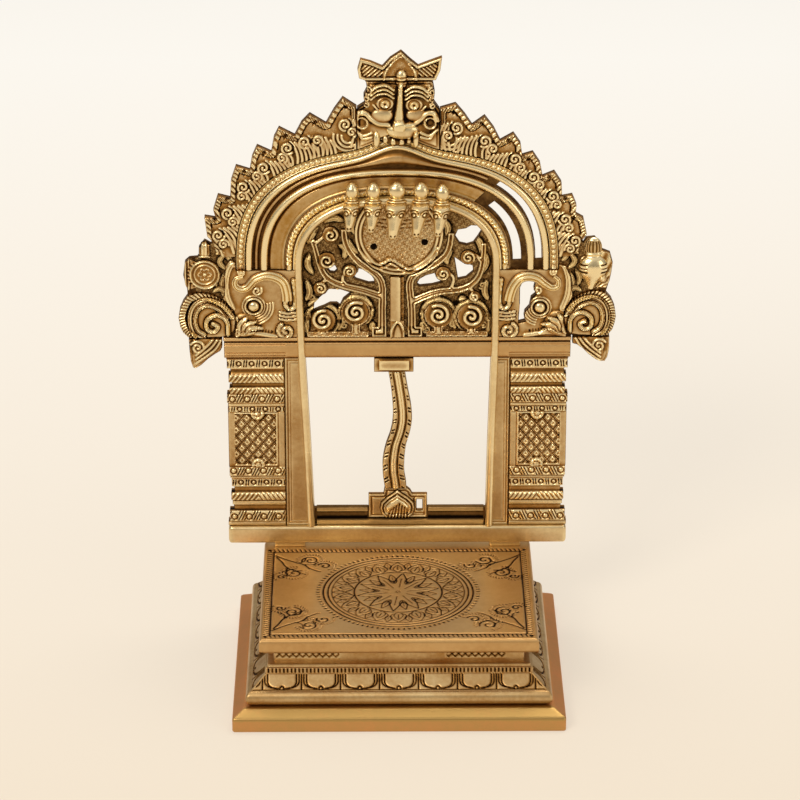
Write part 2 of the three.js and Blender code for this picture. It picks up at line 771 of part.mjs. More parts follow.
// One level of the nose ridge: a flat-backed wedge that stands out from the face to its bridge.
function noseRing(height, half, out) {
  const root = faceFront - 1;
  const bridge = faceFront - out;
  return [
    [-half * 1.6, root], [-half, bridge + 0.8], [0, bridge], [half, bridge + 0.8], [half * 1.6, root],
  ].map(([x, y]) => new THREE.Vector3(x + 0.5, y, archTop + height));
}

// Crown of the mask: three leaf points, and a raised middle leaf.
function maskCrown() {
  const crownFront = faceFront - 1;
  const points = overArch([
    [-15.2, 28.7], [-18.2, 29.7], [-19, 34.3], [-17.6, 39.3], [-12.6, 37.9], [-7.2, 35.5],
    [-3.4, 39.8], [1.8, 43.3], [6.4, 38.9], [10, 35.9], [15.6, 38.1], [21.4, 40.3],
    [20.6, 33.7], [18.4, 28.7],
  ]);
  const leaf = overArch([
    [-4.6, 28.7], [-4.8, 33.3], [-1.4, 38.3], [1.8, 41.9], [5, 37.3], [6.4, 32.9], [5.6, 28.7],
  ]);
  return flat(outline(points), crownFront, plateFront)
    .add(flat(outline(leaf), crownFront - 1.6, crownFront + overlap));
}

// Serpent heads: middle, height of the crown and of the snout, and half-width.
const serpentHeads = [
  [-23.2, 229.6, 215.7, 3.6], [-12.4, 229.6, 214.7, 3.9], [-1.6, 229.8, 211, 4.9],
  [10.2, 229.4, 212, 4.3], [20, 228.4, 212.3, 3.9],
];

// One serpent head that hangs in front of the rod, with a knob above its crown.
function serpentHead([x, crown, snout, half]) {
  const length = crown - snout;
  const rows = [
    [1, 0.94, 2, 8.4], [0.86, 1, 2.4, 10.6], [0.62, 0.8, 4, 12], [0.36, 0.6, 5.8, 12.8],
    [0.14, 0.5, 7.2, 13], [0, 0.3, 8.4, 11.8],
  ];
  const rings = rows.map(([share, wide, near, far]) => {
    const w = half * wide;
    const z = snout + length * share;
    const back = faceFront - near;
    const front = faceFront - far;
    const middle = (back + front) / 2;
    return [
      [-w * 0.7, back], [-w, middle], [-w * 0.72, front + 1], [0, front], [w * 0.72, front + 1],
      [w, middle], [w * 0.7, back],
    ].map(([dx, y]) => new THREE.Vector3(x + dx, y, z));
  }).reverse();
  const head = toSolid(loft(rings));
  const knobY = faceFront - 4.6;
  const collar = bead(x, knobY, crown + 1, half * 0.8, 3.4, 1.4, 8);
  const knob = bead(x, knobY, crown + 5.6, half * 0.62, 2.8, 4.6, 8);
  const behind = box(x - 40, x + 40, rodFront, panelBack, crown - 30, crown + 30);
  return joined([head, collar, knob]).subtract(behind);
}

// Hood: the round shield behind the heads, with a second lobe's edge on it.
function serpentHood() {
  const shield = disc(hoodX, hoodZ, hoodRadius, faceFront, plateFront, 40)
    .subtract(topCut());
  const lobe = ribbon(
    [[-18.6, 203.4], [-14, 197.8], [-8, 195.8], [-3, 198], [3, 194.2], [9, 193.4], [15, 197],
      [19.2, 204]],
    1.4, 1.4, proudFront, faceFront + overlap, 24,
  );
  return shield.add(lobe).subtract(topCut());
}

// The space above the inner edge of the ring, which the hood stays below.
function topCut() {
  const arch = archAngles(8, 172, 30)
    .map((angle) => archPoint(ringInner, angle))
    .map(([x, z]) => [x, z - gap]);
  const wide = 2 * ringInner;
  const around = [[-wide, springZ + 1], [-wide, 2 * springZ], [wide, 2 * springZ], [wide, springZ + 1]];
  return flat(outline([...arch, ...around].reverse()), nearSide, farSide);
}

// The space inside the ring, down to the lintel.
function insideRing() {
  const reach = ringInner - gap;
  const arch = archAngles(0, 180, 30).map((angle) => archPoint(reach, angle));
  return flat(outline([[reach, lintelTop], ...arch, [-reach, lintelTop]]), nearSide, farSide);
}

function hoodRivet(x, z) {
  return disc(x, z, 1.7, faceFront - 1, faceFront, 12);
}

// Middle post of the tree, with a small leaf at its foot.
function centrePost() {
  const stem = box(-3.6, 1, proudFront, plateFront, lintelTop, 189.4);
  const edge = box(0.6, 3.4, faceFront + 0.4, plateFront, lintelTop, 189);
  const leafFront = faceFront - 1.2;
  const leaf = ribbon([[-3.4, lintelTop], [-2.6, 161.5], [0.2, 165.4]], 1.4, 0.8, leafFront,
    proudFront + overlap, 8)
    .add(ribbon([[3.8, lintelTop], [3, 161.5], [0.2, 165.4]], 1.4, 0.8, leafFront, faceFront + 0.8,
      8));
  return joined([stem, edge, leaf])
    .subtract(box(-9, 9, nearSide, farSide, lintelBottom, lintelTop));
}

const tree = {
  left: {
    foot: [[-5, lintelTop], [-5, 162.6], [-12.6, 162.6], [-12.6, lintelTop]],
    trunk: [[-7.4, 160], [-7.4, 172], [-7.2, 183], [-8.9, 188.5], [-13, 192.4], [-18.6, 196.4],
      [-23.4, 202.5], [-25.7, 209], [-26, 214]],
    branch: [[-8, 178.6], [-16.7, 181.8], [-23.3, 183.4], [-30, 185.7], [-34.7, 189], [-37.3, 193.6],
      [-38.9, 199.3], [-40.2, 204.7], [-41.6, 208.6]],
    scrolls: [[-34.4, 197.6, 4.4, 3.2, 1.3], [-23.4, 192, 3.7, 4.6, 1.2],
      [-37.6, 183, 3.7, 1, -1.2], [-32.4, 211, 4.4, 3.6, -1.3]],
    stems: [[[-24.6, 184], [-26.8, 188], [-25.4, 192.6]], [[-33.4, 188], [-36.4, 186.4], [-38, 184]],
      [[-40.6, 206], [-37.6, 208.6], [-34.4, 211.4]]],
  },
  right: {
    foot: [[5, lintelTop], [12.4, lintelTop], [12.4, 162.6], [5, 162.6]],
    trunk: [[7, 160], [7, 172], [6, 183], [6.8, 188], [10.8, 191.9], [17.2, 194.8], [23.4, 200],
      [25.7, 206], [26.2, 212]],
    branch: [[7.4, 175.8], [16.7, 180], [23.3, 181.4], [30, 182], [36, 184.5], [39.9, 189.2],
      [41.6, 195.3], [42.1, 201.6], [42.2, 206.6]],
    scrolls: [[22.4, 190.4, 3.9, 4, -1.2], [34.6, 199, 4, 5.2, 1.2], [37.8, 178.4, 3, 1.4, 1.1]],
    stems: [[[26.4, 183], [27.6, 188], [25, 191.4]], [[41, 197], [38, 200.4], [35, 200]],
      [[34.6, 184], [37, 181], [37.6, 178.4]]],
  },
};

// Tree: a trunk that turns round the hood, and a branch with scrolls on it.
function treeSide(name) {
  const parts = tree[name];
  const foot = flat(outline(parts.foot), faceFront, plateFront);
  const trunk = ribbon(parts.trunk, 4.6, 3.2, proudFront, plateFront, 16);
  const branch = ribbon(parts.branch, 4.2, 2.8, proudFront, plateFront, 16);
  const scrolls = parts.scrolls.map(([x, z, r, start, turns]) => scroll(x, z, r, start, turns));
  const stems = parts.stems.map((line) => ribbon(line, 2.2, 1.6, faceFront, plateFront, 8));
  const around = disc(hoodX, hoodZ, hoodRadius + gap, nearSide, farSide, 40);
  return joined([foot, trunk, branch, ...scrolls, ...stems])
    .subtract(around)
    .intersect(insideRing());
}

// Scrolls that fill the foot of the tympanum, on a low rail.
const footScrolls = {
  left: [[-36.6, 166, 6.3, 5, 1.7], [-20.4, 170.2, 7.3, 0.4, -1.7]],
  right: [[20.2, 168.6, 7, 3.6, 1.7], [36.4, 167.6, 7, 5.6, -1.7]],
};

function footScroll(name) {
  const side = sides[name];
  const ends = [side * 14, side * 44.6].sort((a, b) => a - b);
  const rail = box(ends[0], ends[1], faceFront + 0.4, plateFront, lintelTop, 160);
  const scrolls = footScrolls[name].map(([x, z, r, start, turns]) => scroll(x, z, r, start, turns));
  const stems = footScrolls[name].map(([x, z]) => (
    box(x - 2.2, x + 2.2, faceFront + 0.8, plateFront, 159, z)));
  return joined([rail, ...scrolls, ...stems]).intersect(insideRing());
}

// Wing pieces: points beyond the end of the lintel and over its top.
function onWing(name, pairs) {
  return pairs.map(([x, z]) => [sides[name] * (lintelHalf + x), lintelTop + z]);
}

const volute = {
  left: {
    middle: [7.3, 8],
    edge: [
      [22, 10.5], [21.3, 14.8], [19.5, 19], [17.1, 22.4], [12.5, 24], [7.5, 23.6], [3, 22],
      [-1.5, 18.8], [-4.9, 14.5], [-6.3, 9], [-5.5, 3.6], [-2.9, 0.6], [1.5, -0.2],
      [7.5, -0.3], [13.5, -0.2], [17.5, 0.3], [19.9, 2.8], [21.3, 6],
    ],
  },
  right: {
    middle: [8.9, 9],
    edge: [
      [22, 11], [21.3, 15.6], [19.5, 19.8], [16.7, 23.2], [12.9, 24.6], [8.5, 24.2],
      [3.7, 22.4], [-0.5, 19], [-3.1, 14.5], [-3.7, 9], [-2.5, 4], [0.1, 1.2], [4.5, 0.4],
      [9.5, 0.3], [14.5, 0.4], [18.3, 1], [20.5, 4], [21.5, 7.5],
    ],
  },
};
const pendant = {
  left: {
    middle: [12.9, -5.4],
    edge: [
      [17.3, -0.7], [17.1, -7], [16.5, -13], [15.5, -16.2], [14.3, -16.7], [11.5, -15],
      [8, -11.6], [4.5, -9], [1.9, -7.4], [0.9, -5.4], [0.9, -0.7],
    ],
  },
  right: {
    middle: [13.9, -5],
    edge: [
      [19.1, -0.2], [19.1, -7], [18.3, -11.2], [17.1, -13.4], [15.5, -13.4], [12.5, -12.2],
      [9, -9.4], [5.9, -6], [3.1, -4.4], [0.9, -3.8], [0.9, -0.2],
    ],
  },
};

function grown([x0, z0], edge, amount) {
  return edge.map(([x, z]) => {
    const out = new THREE.Vector2(x - x0, z - z0);
    out.setLength(out.length() + amount);
    return [x0 + out.x, z0 + out.y];
  });
}

// Tail volute: a large ribbed scroll at the end of the lintel.
function tailVolute(name) {
  const [[x, z]] = onWing(name, [volute[name].middle]);
  const edge = onWing(name, volute[name].edge);
  const side = sides[name];
  const base = flat(outline(edge), faceFront + 0.4, plateFront);
  const spiral = curl(x, z, 11.6, 1.4, side > 0 ? 3.6 : -0.5, side * -1.9, 1.9, proudFront - 0.4,
    faceFront + 0.4 + overlap);
  const rim = curl(x, z, 14.2, 12.4, side > 0 ? 4.9 : -1.8, side * 0.62, 1.6, proudFront,
    faceFront + 0.4 + overlap);
  const keep = flat(outline(edge), nearSide, farSide);
  return joined([base, spiral, rim]).intersect(keep);
}

// Pendant: the small scroll that hangs below the end of the lintel.
function pendantScroll(name) {
  const [[x, z]] = onWing(name, [pendant[name].middle]);
  const edge = onWing(name, pendant[name].edge);
  const side = sides[name];
  const base = flat(outline(edge), faceFront + 0.4, plateFront);
  return base.add(curl(x, z, 4.2, 0.9, side > 0 ? 2.2 : 0.9, side * 1.3, 1.2, proudFront,
    faceFront + 0.4 + overlap));
}

// Water beast: distances out from the rod's middle, and heights over the lintel.
const makaraPlate = {
  left: [
    [-1.8, 0], [31, 0], [37.6, 19], [36.2, 24], [36, 32], [35.6, 38], [33.2, 41.6], [30.8, 40],
    [30.4, 35.7], [-1.8, 35.7],
  ],
  right: [
    [-1.8, 0], [-1.8, 35.7], [30.4, 35.7], [30.8, 38.6], [34, 37.6], [36.6, 32], [37.2, 25],
    [38.6, 20], [34.6, 0],
  ],
};
// The right wing is pierced between the trunk and the head; the left one is cast shut.
const makaraOpenings = {
  left: [],
  right: [
    [
      [11.2, 7.2], [11.8, 18], [11.8, 26], [13, 28.8], [15.6, 29.9], [19.2, 29], [18.4, 25],
      [20, 22.6], [17.2, 20.2], [16.4, 15.6], [14.2, 13], [13.8, 10.6], [15, 8.2],
    ],
  ],
};
// Eye, cheek and jaw.
const makaraFace = {
  left: [[22.1, 16.8], [26.2, 7], [24, 1.6]],
  right: [[21.6, 15.8], [30.6, 8.4], [26.2, 1.8]],
};
const makaraHorn = [[35, 25.4], [35.2, 31], [34, 36.2], [31.6, 38.4]];
const makaraTrunkLine = {
  left: [[27, 32.6], [30.4, 31.4], [31, 28.6], [29, 26.4], [25.2, 26.8],
    [21.2, 31], [15.8, 33], [10.6, 32], [7.2, 29], [5.9, 24], [5.6, 18.2]],
  right: [[28.2, 32.4], [30.4, 30], [30, 27.2], [27.2, 26.4], [23.6, 28.6], [20, 31.4],
    [15.6, 32.4], [11.6, 31.2], [8.6, 27.6], [7, 23], [6.4, 18]],
};

function onBeast(name, pairs) {
  return pairs.map(([x, z]) => [sides[name] * (rodReach + x), lintelTop + z]);
}

// Makara: the water beast's head on the lintel, with its eye, cheek and jaw.
function makara(name) {
  const [eyeAt, cheekAt, jawAt] = onBeast(name, makaraFace[name]);
  const openings = makaraOpenings[name]
    .map((hole) => flat(outline(onBeast(name, hole)), nearSide, farSide));
  const [middle] = onWing(name, [volute[name].middle]);
  const edge = onWing(name, volute[name].edge);
  const clear = flat(outline(grown(middle, edge, gap)), nearSide, farSide);
  const plate = flat(outline(onBeast(name, makaraPlate[name])), faceFront, plateFront);
  const eye = disc(...eyeAt, 4.7, faceFront - 1.4, faceFront + overlap, 20)
    .add(bead(eyeAt[0], faceFront - 1.2, eyeAt[1], 2.7, 1.6, 2.7));
  const cheek = bead(cheekAt[0], faceFront, cheekAt[1], 4.8, 2, 5.4);
  const jaw = bead(jawAt[0], faceFront, jawAt[1] + 0.6, 8.6, 1.8, 2);
  const horn = ribbon(onBeast(name, makaraHorn), 2, 1.4, proudFront, faceFront + overlap, 10);
  const solid = joined([plate, eye, cheek, jaw, horn]);
  const below = box(-2 * lintelHalf, 2 * lintelHalf, nearSide, farSide, lintelBottom, lintelTop);
  return without(solid, [clear, below, ...openings]);
}

function makaraTrunk(name) {
  const line = onBeast(name, makaraTrunkLine[name]);
  return ribbon(line, 2.2, 5.2, faceFront - 2.2, faceFront, 24);
}

const chakra = { x: -(lintelHalf + 8.7), z: lintelTop + 33.4, radius: 7.8 };
const wheelLeaf = onWing('left', [
  [12.5, 26.4], [16.9, 25], [18.3, 28], [19.2, 33], [18.3, 39.6], [16.1, 41.6], [13.7, 40.6],
  [11.5, 39.4],
]);
const conchLeaf = onWing('right', [
  [10.5, 25.2], [16.9, 25.2], [18.5, 29], [19.3, 33.4], [19.9, 38.6], [18.5, 43.6],
  [14.9, 45.2], [10.5, 45],
]);

// Wheel on the left wing: rim, hub flower and the leaf behind it.
function wheel() {
  const { x, z, radius } = chakra;
  const base = disc(x, z, radius, faceFront, plateFront, 32);
  const rim = disc(x, z, radius, proudFront - 0.4, faceFront + overlap, 32)
    .subtract(disc(x, z, radius - 2.2, nearSide, farSide, 32));
  const hub = disc(x, z, 1.3, proudFront - 0.2, faceFront + overlap, 12);
  const petals = Array.from({ length: 6 }, (_, i) => {
    const turn = (Math.PI * i) / 3;
    return bead(x + 2.9 * Math.cos(turn), faceFront, z + 2.9 * Math.sin(turn), 1.4, 0.8, 1.4, 6);
  });
  const leaf = flat(outline(wheelLeaf), faceFront + 0.4, plateFront);
  return joined([base, leaf, rim, hub, ...petals]);
}

// Ribbed knob above the wheel.
function wheelKnob() {
  const dome = onWing('left', [
    [11.5, 42.2], [11.3, 47.2], [10.1, 49.8], [8.5, 50.8], [6.7, 50.2], [5.7, 48.6],
    [5.5, 42.2],
  ]);
  const foot = lintelTop + 43.2;
  const bars = [-1.6, 0, 1.6].map((off) => box(
    chakra.x + 0.2 + off - 0.45,
    chakra.x + 0.2 + off + 0.45,
    faceFront - 1.2,
    faceFront + overlap,
    foot,
    foot + 5.8,
  ));
  const collar = box(chakra.x - 3.2, chakra.x + 3.4, faceFront - 1, plateFront, foot - 1.7,
    foot + 0.2);
  return joined([flat(outline(dome), faceFront - 0.4, plateFront), collar, ...bars]);
}

// Conch on the right wing: a shell with its spire up, on a leaf.
function conch() {
  const profile = [
    [0, 25.2], [1.2, 25.4], [2.2, 29], [4.6, 33.6], [6.9, 38.6], [6.4, 41.6], [4.2, 42.8],
    [4.6, 44.4], [4.2, 48.4], [2.6, 51.6], [0, 52.6],
  ];
  const shell = new THREE.LatheGeometry(outline(profile), 16);
  shell.rotateX(Math.PI / 2);
  shell.scale(1, 0.62, 1);
  shell.translate(lintelHalf + 9.1, faceFront + 0.4, lintelTop);
  const behind = box(lintelHalf - 10, lintelHalf + 30, plateFront, farSide, lintelTop, 2 * lintelTop);
  const leaf = flat(outline(conchLeaf), faceFront + 0.4, plateFront);
  return joined([toSolid(shell), leaf]).subtract(behind);
}

// Openings of the tympanum that light shows through.
const tympanumOpenings = [
  [[-33.9, 192.4], [-33.2, 194.2], [-30.4, 194.2], [-29.4, 192], [-30.8, 190.6], [-32.8, 190.9]],
  [[-21.6, 188.4], [-19.2, 190.8], [-18.8, 192.6], [-16, 191.8], [-13.2, 190], [-11.6, 187.2],
    [-11.2, 185.2], [-14, 185], [-20, 187]],
  [[-41.2, 170.6], [-40.6, 175], [-37, 178.4], [-33.4, 181.8], [-28, 181.6], [-22.8, 179.8],
    [-26.6, 176.6], [-28.2, 173.2], [-29.6, 174.4], [-33, 174.4], [-36, 172.8], [-38.6, 171.8]],
  [[28.2, 209.4], [29.6, 212.8], [33.4, 213.4], [36, 215], [39.2, 214.8], [41, 212.4], [39.4, 209.5],
    [37, 206], [34, 205], [30.5, 205.8]],
  [[28, 198.4], [31.2, 196], [36.8, 194], [37.2, 191], [33.6, 187.8], [29.8, 187], [29.2, 191]],
  [[9.6, 184.4], [11, 187], [14, 188.8], [18.2, 190], [19.4, 187.2], [22.2, 185.4], [17, 184], [11,
    183.4]],
];

// Slots between the ribs on the right side of the arch.
function archSlot(inner, outer, from, to) {
  const angles = archAngles(from, to, 12);
  const near = angles.map((angle) => archPoint(inner, angle));
  const far = angles.map((angle) => archPoint(outer, angle));
  return flat(outline([...near, ...far.reverse()]), nearSide, farSide);
}

function archSlots() {
  return [
    archSlot(ropeOuter + 1.4, ribInner - 2.6, 1, 43),
    archSlot(ribOuter + 0.6, outerRibInner - 0.2, 1, 50),
  ];
}

const crownBack = overArch([
  [-14.6, 26.3], [-17, 29.9], [-18, 34.1], [-16.8, 38.1], [-12.4, 36.9], [-7.2, 34.5],
  [-3, 38.7], [1.8, 41.9], [5.8, 37.9], [10, 34.9], [15.4, 36.9], [20, 38.7], [19.6, 33.7],
  [17.4, 29.7], [16, 26.3],
]);
// Sheet behind the leaf and knob over each tail volute.
const finialBack = {
  left: [
    [12.5, 26.4], [16.9, 23], [18.3, 28], [19.2, 33], [18.3, 39.6], [16.1, 41.6], [11.5, 42],
    [11.3, 47.2], [8.5, 50.8], [5.5, 49], [2.5, 33],
  ],
  right: [
    [0.5, 25], [10.5, 23], [16.9, 23], [18.5, 29], [19.3, 33.4], [19.9, 38.6], [18.5, 43.6],
    [14.1, 45.4], [12.9, 49], [10.9, 51.8], [6.5, 51.4], [2.5, 43],
  ],
};

// Back plate: the pierced sheet that carries every casting of the arch.
// It closes the seams beside the mask and under the wheel.
const seamCover = 1.2;

function backPlate() {
  const sheets = [];
  const arch = archAngles(0, 180, 36).map((angle) => archPoint(crestInner + 0.6, angle));
  sheets.push(outline([[crestInner, lintelTop], ...arch, [-crestInner, lintelTop]]));
  const underMask = overArch([[maskSide.left, -11.7], [maskSide.right, -11.7]]);
  sheets.push(outline([...maskHead, ...underMask, ...maskHeadRight]));
  sheets.push(outline(crownBack));
  for (const name of Object.keys(sides)) {
    const side = sides[name];
    sheets.push(crestOutline(name));
    sheets.push(outline(onWing(name, volute[name].edge)));
    sheets.push(outline(onWing(name, pendant[name].edge)));
    sheets.push(outline(onWing(name, finialBack[name])));
    sheets.push(outline([
      [side * (beadOuter - 0.4), lintelTop],
      ...onWing(name, [
        [0.9, 0], [0.9, -2], [10.5, -2], [10.5, 3], [7.5, 27], [9.5, 43], [5.5, 49], [-3.5, 57],
      ]),
      [side * (beadOuter - 0.4), lintelTop + 57],
    ]));
  }
  sheets.push(circle(chakra.x, chakra.z, chakra.radius, 32));
  for (const seam of [maskHead[4][0], maskHeadRight[0][0]]) {
    const [near, far] = [seam - seamCover, seam + seamCover];
    sheets.push(outline(overArch([[near, -8], [far, -8], [far, 12.8], [near, 12.8]])));
  }
  const [hubX, hubFoot] = [chakra.x, chakra.z - chakra.radius];
  sheets.push(outline([
    [hubX - 9, hubFoot + 3], [hubX - 8.6, hubFoot - 5], [hubX + 4, hubFoot - 5],
    [hubX + 4, hubFoot + 3],
  ]));
  const sheet = joined(sheets.map((points) => flat(points, plateFront, panelBack)));
  const openings = [...tympanumOpenings, ...makaraOpenings.right.map((hole) => onBeast('right', hole))]
    .map((points) => flat(outline(points), nearSide, farSide));
  return without(sheet, [...openings, ...archSlots()]);
}

// Assembly
addPiece('plinth', toGeometry(plinth()), copperBrass);
addPiece('lotus_course', toGeometry(lotusCourse()), brass);
addPiece('dentil_course', toGeometry(dentilCourse()), brass);
addPiece('neck_course', toGeometry(neckCourse()), brass);
addPiece('seat_slab', toGeometry(seatSlab()), paleBrass);
screwPlaces().forEach((place, i) => {
  addPiece(`tie_screw_${i + 1}`, toGeometry(tieScrew(place)), steel);
});

addPiece('sill_beam', toGeometry(sillBeam()), brass);
addPiece('sill_step', toGeometry(sillStep()), darkBrass);
addPiece('step_bracket', toGeometry(stepBracket()), brass);
addPiece('lotus_bud', toGeometry(lotusBud()), paleBrass);
addPiece('serpent_tail', toGeometry(serpentTail()), paleBrass);
addPiece('tail_cap', toGeometry(tailCap()), brass);
addPiece('lintel', toGeometry(lintel()), brass);
addPiece('arch_rod', archRod(), paleBrass);
addPiece('back_plate', toGeometry(backPlate()), darkBrass);

addPiece('rope_band', ropeBand(), brass);
addPiece('inner_web', webBand(ropeOuter, ribInner, crowned(webFront, plateFront), 52), brass);
addPiece('middle_rib', archBand(ribInner, ribOuter, crowned(proudFront, plateFront)), paleBrass);
addPiece('upper_web', webBand(ribOuter, outerRibInner, level(webFront, plateFront), 56), brass);
addPiece('outer_rib', archBand(outerRibInner, outerRibOuter, crowned(proudFront, plateFront)),
  paleBrass);
addPiece('bead_band', archBand(outerRibOuter + gap, beadOuter, level(faceFront, plateFront)), brass);

addPiece('serpent_hood', toGeometry(serpentHood()), brass);
addPiece('hood_rivet_left', toGeometry(hoodRivet(-11.5, 205)), darkBrass);
addPiece('hood_rivet_right', toGeometry(hoodRivet(13.3, 207.3)), darkBrass);
serpentHeads.forEach((head, i) => {
  addPiece(`serpent_head_${i + 1}`, toGeometry(serpentHead(head)), paleBrass);
});
addPiece('centre_post', toGeometry(centrePost()), brass);
addPiece('lion_mask', toGeometry(lionMask()), brass);
addPiece('mask_crown', toGeometry(maskCrown()), paleBrass);

for (const name of Object.keys(sides)) {
  addPiece(`pillar_${name}`, toGeometry(pillar(name)), brass);
  addPiece(`jamb_${name}`, toGeometry(jamb(name)), brass);
  addPiece(`crest_${name}`, toGeometry(crest(name)), brass);
  addPiece(`tree_${name}`, toGeometry(treeSide(name)), brass);
  addPiece(`foot_scrolls_${name}`, toGeometry(footScroll(name)), brass);
  addPiece(`makara_${name}`, toGeometry(makara(name)), brass);
  addPiece(`makara_trunk_${name}`, toGeometry(makaraTrunk(name)), paleBrass);
  addPiece(`tail_volute_${name}`, toGeometry(tailVolute(name)), brass);
  addPiece(`pendant_${name}`, toGeometry(pendantScroll(name)), brass);
}
addPiece('wheel', toGeometry(wheel()), paleBrass);
addPiece('wheel_knob', toGeometry(wheelKnob()), brass);
addPiece('conch', toGeometry(conch()), paleBrass);

export default throne;
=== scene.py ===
# %% [markdown]
# # A deity throne in cast brass
#
# The object is a small brass throne: a stepped lotus pedestal with an engraved seat, and behind the
# seat a pierced arch panel that lifts off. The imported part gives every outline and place; this
# script gives the surfaces their carving and the metal its finish. All sizes are in millimetres
# and are turned to metres only when a mesh is made.

import math

import bpy
import numpy as np
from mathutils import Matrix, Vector


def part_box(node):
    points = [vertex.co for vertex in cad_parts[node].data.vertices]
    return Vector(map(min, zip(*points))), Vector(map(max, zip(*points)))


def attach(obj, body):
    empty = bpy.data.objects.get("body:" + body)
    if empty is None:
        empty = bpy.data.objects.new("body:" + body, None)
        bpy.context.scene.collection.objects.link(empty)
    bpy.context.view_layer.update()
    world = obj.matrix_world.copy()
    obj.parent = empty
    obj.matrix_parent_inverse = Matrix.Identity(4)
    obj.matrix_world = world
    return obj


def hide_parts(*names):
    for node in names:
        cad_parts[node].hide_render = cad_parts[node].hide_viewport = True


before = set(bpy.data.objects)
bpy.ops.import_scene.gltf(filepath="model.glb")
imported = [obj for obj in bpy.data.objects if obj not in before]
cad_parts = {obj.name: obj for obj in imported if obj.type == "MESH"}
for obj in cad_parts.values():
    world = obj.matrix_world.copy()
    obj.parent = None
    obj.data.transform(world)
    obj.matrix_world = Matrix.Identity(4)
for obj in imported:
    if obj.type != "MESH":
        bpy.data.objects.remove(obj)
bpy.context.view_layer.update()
MM = 0.001
PEDESTAL, PANEL = "pedestal", "arch_panel"

# %% [markdown]
# ## Camera
#
# The photograph was taken with a long lens from a little above. A camera fitted to the corners of
# the pedestal, the round medallion and the top of the arch gave these angles, this distance and
# this focal length, so the camera is placed by them and looks at one point of the object.

# %% Place the camera
camera_rise = math.radians(23.89)
camera_turn = math.radians(-0.48)
camera_distance = 1718.6
camera_aim = np.array([0.9, 0, 145.4])
camera_back = np.array([
    math.sin(camera_turn) * math.cos(camera_rise),
    -math.cos(camera_turn) * math.cos(camera_rise),
    math.sin(camera_rise),
])

camera_data = bpy.data.cameras.new("camera")
camera_data.sensor_width = 36
camera_data.lens = 160.7
camera_data.clip_end = 20
camera = bpy.data.objects.new("camera", camera_data)
camera.location = Vector((camera_aim + camera_back * camera_distance) * MM)
camera.rotation_euler = Vector(-camera_back).to_track_quat("-Z", "Y").to_euler()
link = bpy.context.scene.collection.objects.link
link(camera)
bpy.context.scene.camera = camera
bpy.context.scene.view_settings.view_transform = "Standard"
print("camera at", [round(v, 3) for v in camera.location])

# %% [markdown]
# ## Colours and nodes
#
# Colours are written as the hex values that a colour picker shows and are turned to linear light by
# one function. One more function adds a shader node with its settings and links.


# %% Colour and node helpers
def linear(text):
    """A hex colour as linear RGBA: each channel c is ((c + 0.055) / 1.055) ** 2.4, or c / 12.92
    where it is very dark."""
    c = np.array([int(text[i:i + 2], 16) for i in (0, 2, 4)]) / 255
    return (*np.where(c > 0.04045, ((c + 0.055) / 1.055) ** 2.4, c / 12.92).tolist(), 1.0)


def add_node(tree, kind, settings=None, inputs=None):
    """Adds one shader node. settings are its attributes, and inputs are numbers, colours or the
    output sockets that feed it."""
    node = tree.nodes.new("ShaderNode" + kind)
    for name, value in (settings or {}).items():
        setattr(node, name, value)
    for name, value in (inputs or {}).items():
        if isinstance(value, bpy.types.NodeSocket):
            tree.links.new(value, node.inputs[name])
        else:
            node.inputs[name].default_value = value
    return node


def new_material(name):
    """A material without nodes, and its node tree."""
    material = bpy.data.materials.new(name)
    material.use_nodes = True
    material.node_tree.nodes.clear()
    return material, material.node_tree


print("hex 808080 is", round(linear("808080")[0], 3), "in linear light")

# %% [markdown]
# ## Stage
#
# A pale cream floor under soft light, as in a small product studio. The floor shows its own colour
# to the camera and to reflections, and keeps a soft shadow. Three large soft lamps shape the metal:
# a key from the upper left, a weaker fill from the right and a strip above and behind.

# %% Floor
# Floor colour near the camera, painted darker as painted shade, and far behind the throne.
shaded_paper_near, lit_paper_far = "f0e4d2", "fffdf8"
own_light = 0.62


def studio_floor():
    """A share of the floor's light, own_light, is its own, so it stays pale and still takes the
    shadow. Its colour is painted a little darker near the camera than far behind the throne, a
    painted shade gradient."""
    material, tree = new_material("matt_cream_paper")
    path = add_node(tree, "LightPath")
    seen = add_node(tree, "Math", {"operation": "ADD"}, {
        0: path.outputs["Is Camera Ray"], 1: path.outputs["Is Glossy Ray"]})
    through = add_node(tree, "Math", {"operation": "ADD"}, {
        0: seen.outputs[0], 1: path.outputs["Is Transmission Ray"]})
    share = add_node(tree, "Math", {"operation": "MULTIPLY"}, {
        0: through.outputs[0], 1: own_light})
    place = add_node(tree, "TexCoord").outputs["Object"]
    split = add_node(tree, "SeparateXYZ", None, {0: place})
    away = add_node(tree, "MapRange", None, {
        "Value": split.outputs["Y"], "From Min": -0.12, "From Max": 0.95})
    paper = add_node(tree, "Mix", {"data_type": "RGBA"}, {0: away.outputs[0]})
    paper.inputs[6].default_value = linear(shaded_paper_near)
    paper.inputs[7].default_value = linear(lit_paper_far)
    matt = add_node(tree, "BsdfDiffuse", None, {"Color": paper.outputs[2]})
    glow = add_node(tree, "Emission", None, {"Color": paper.outputs[2], "Strength": 1.0})
    mix = add_node(tree, "MixShader", None, {
        0: share.outputs[0], 1: matt.outputs[0], 2: glow.outputs[0]})
    add_node(tree, "OutputMaterial", None, {"Surface": mix.outputs[0]})
    return material


floor_mesh = bpy.data.meshes.new("floor")
floor_mesh.from_pydata([(-6, -6, 0), (6, -6, 0), (6, 6, 0), (-6, 6, 0)], [], [(0, 1, 2, 3)])
floor_mesh.materials.append(studio_floor())
floor = bpy.data.objects.new("floor", floor_mesh)
link(floor)
print("floor:", floor_mesh.materials[0].name)

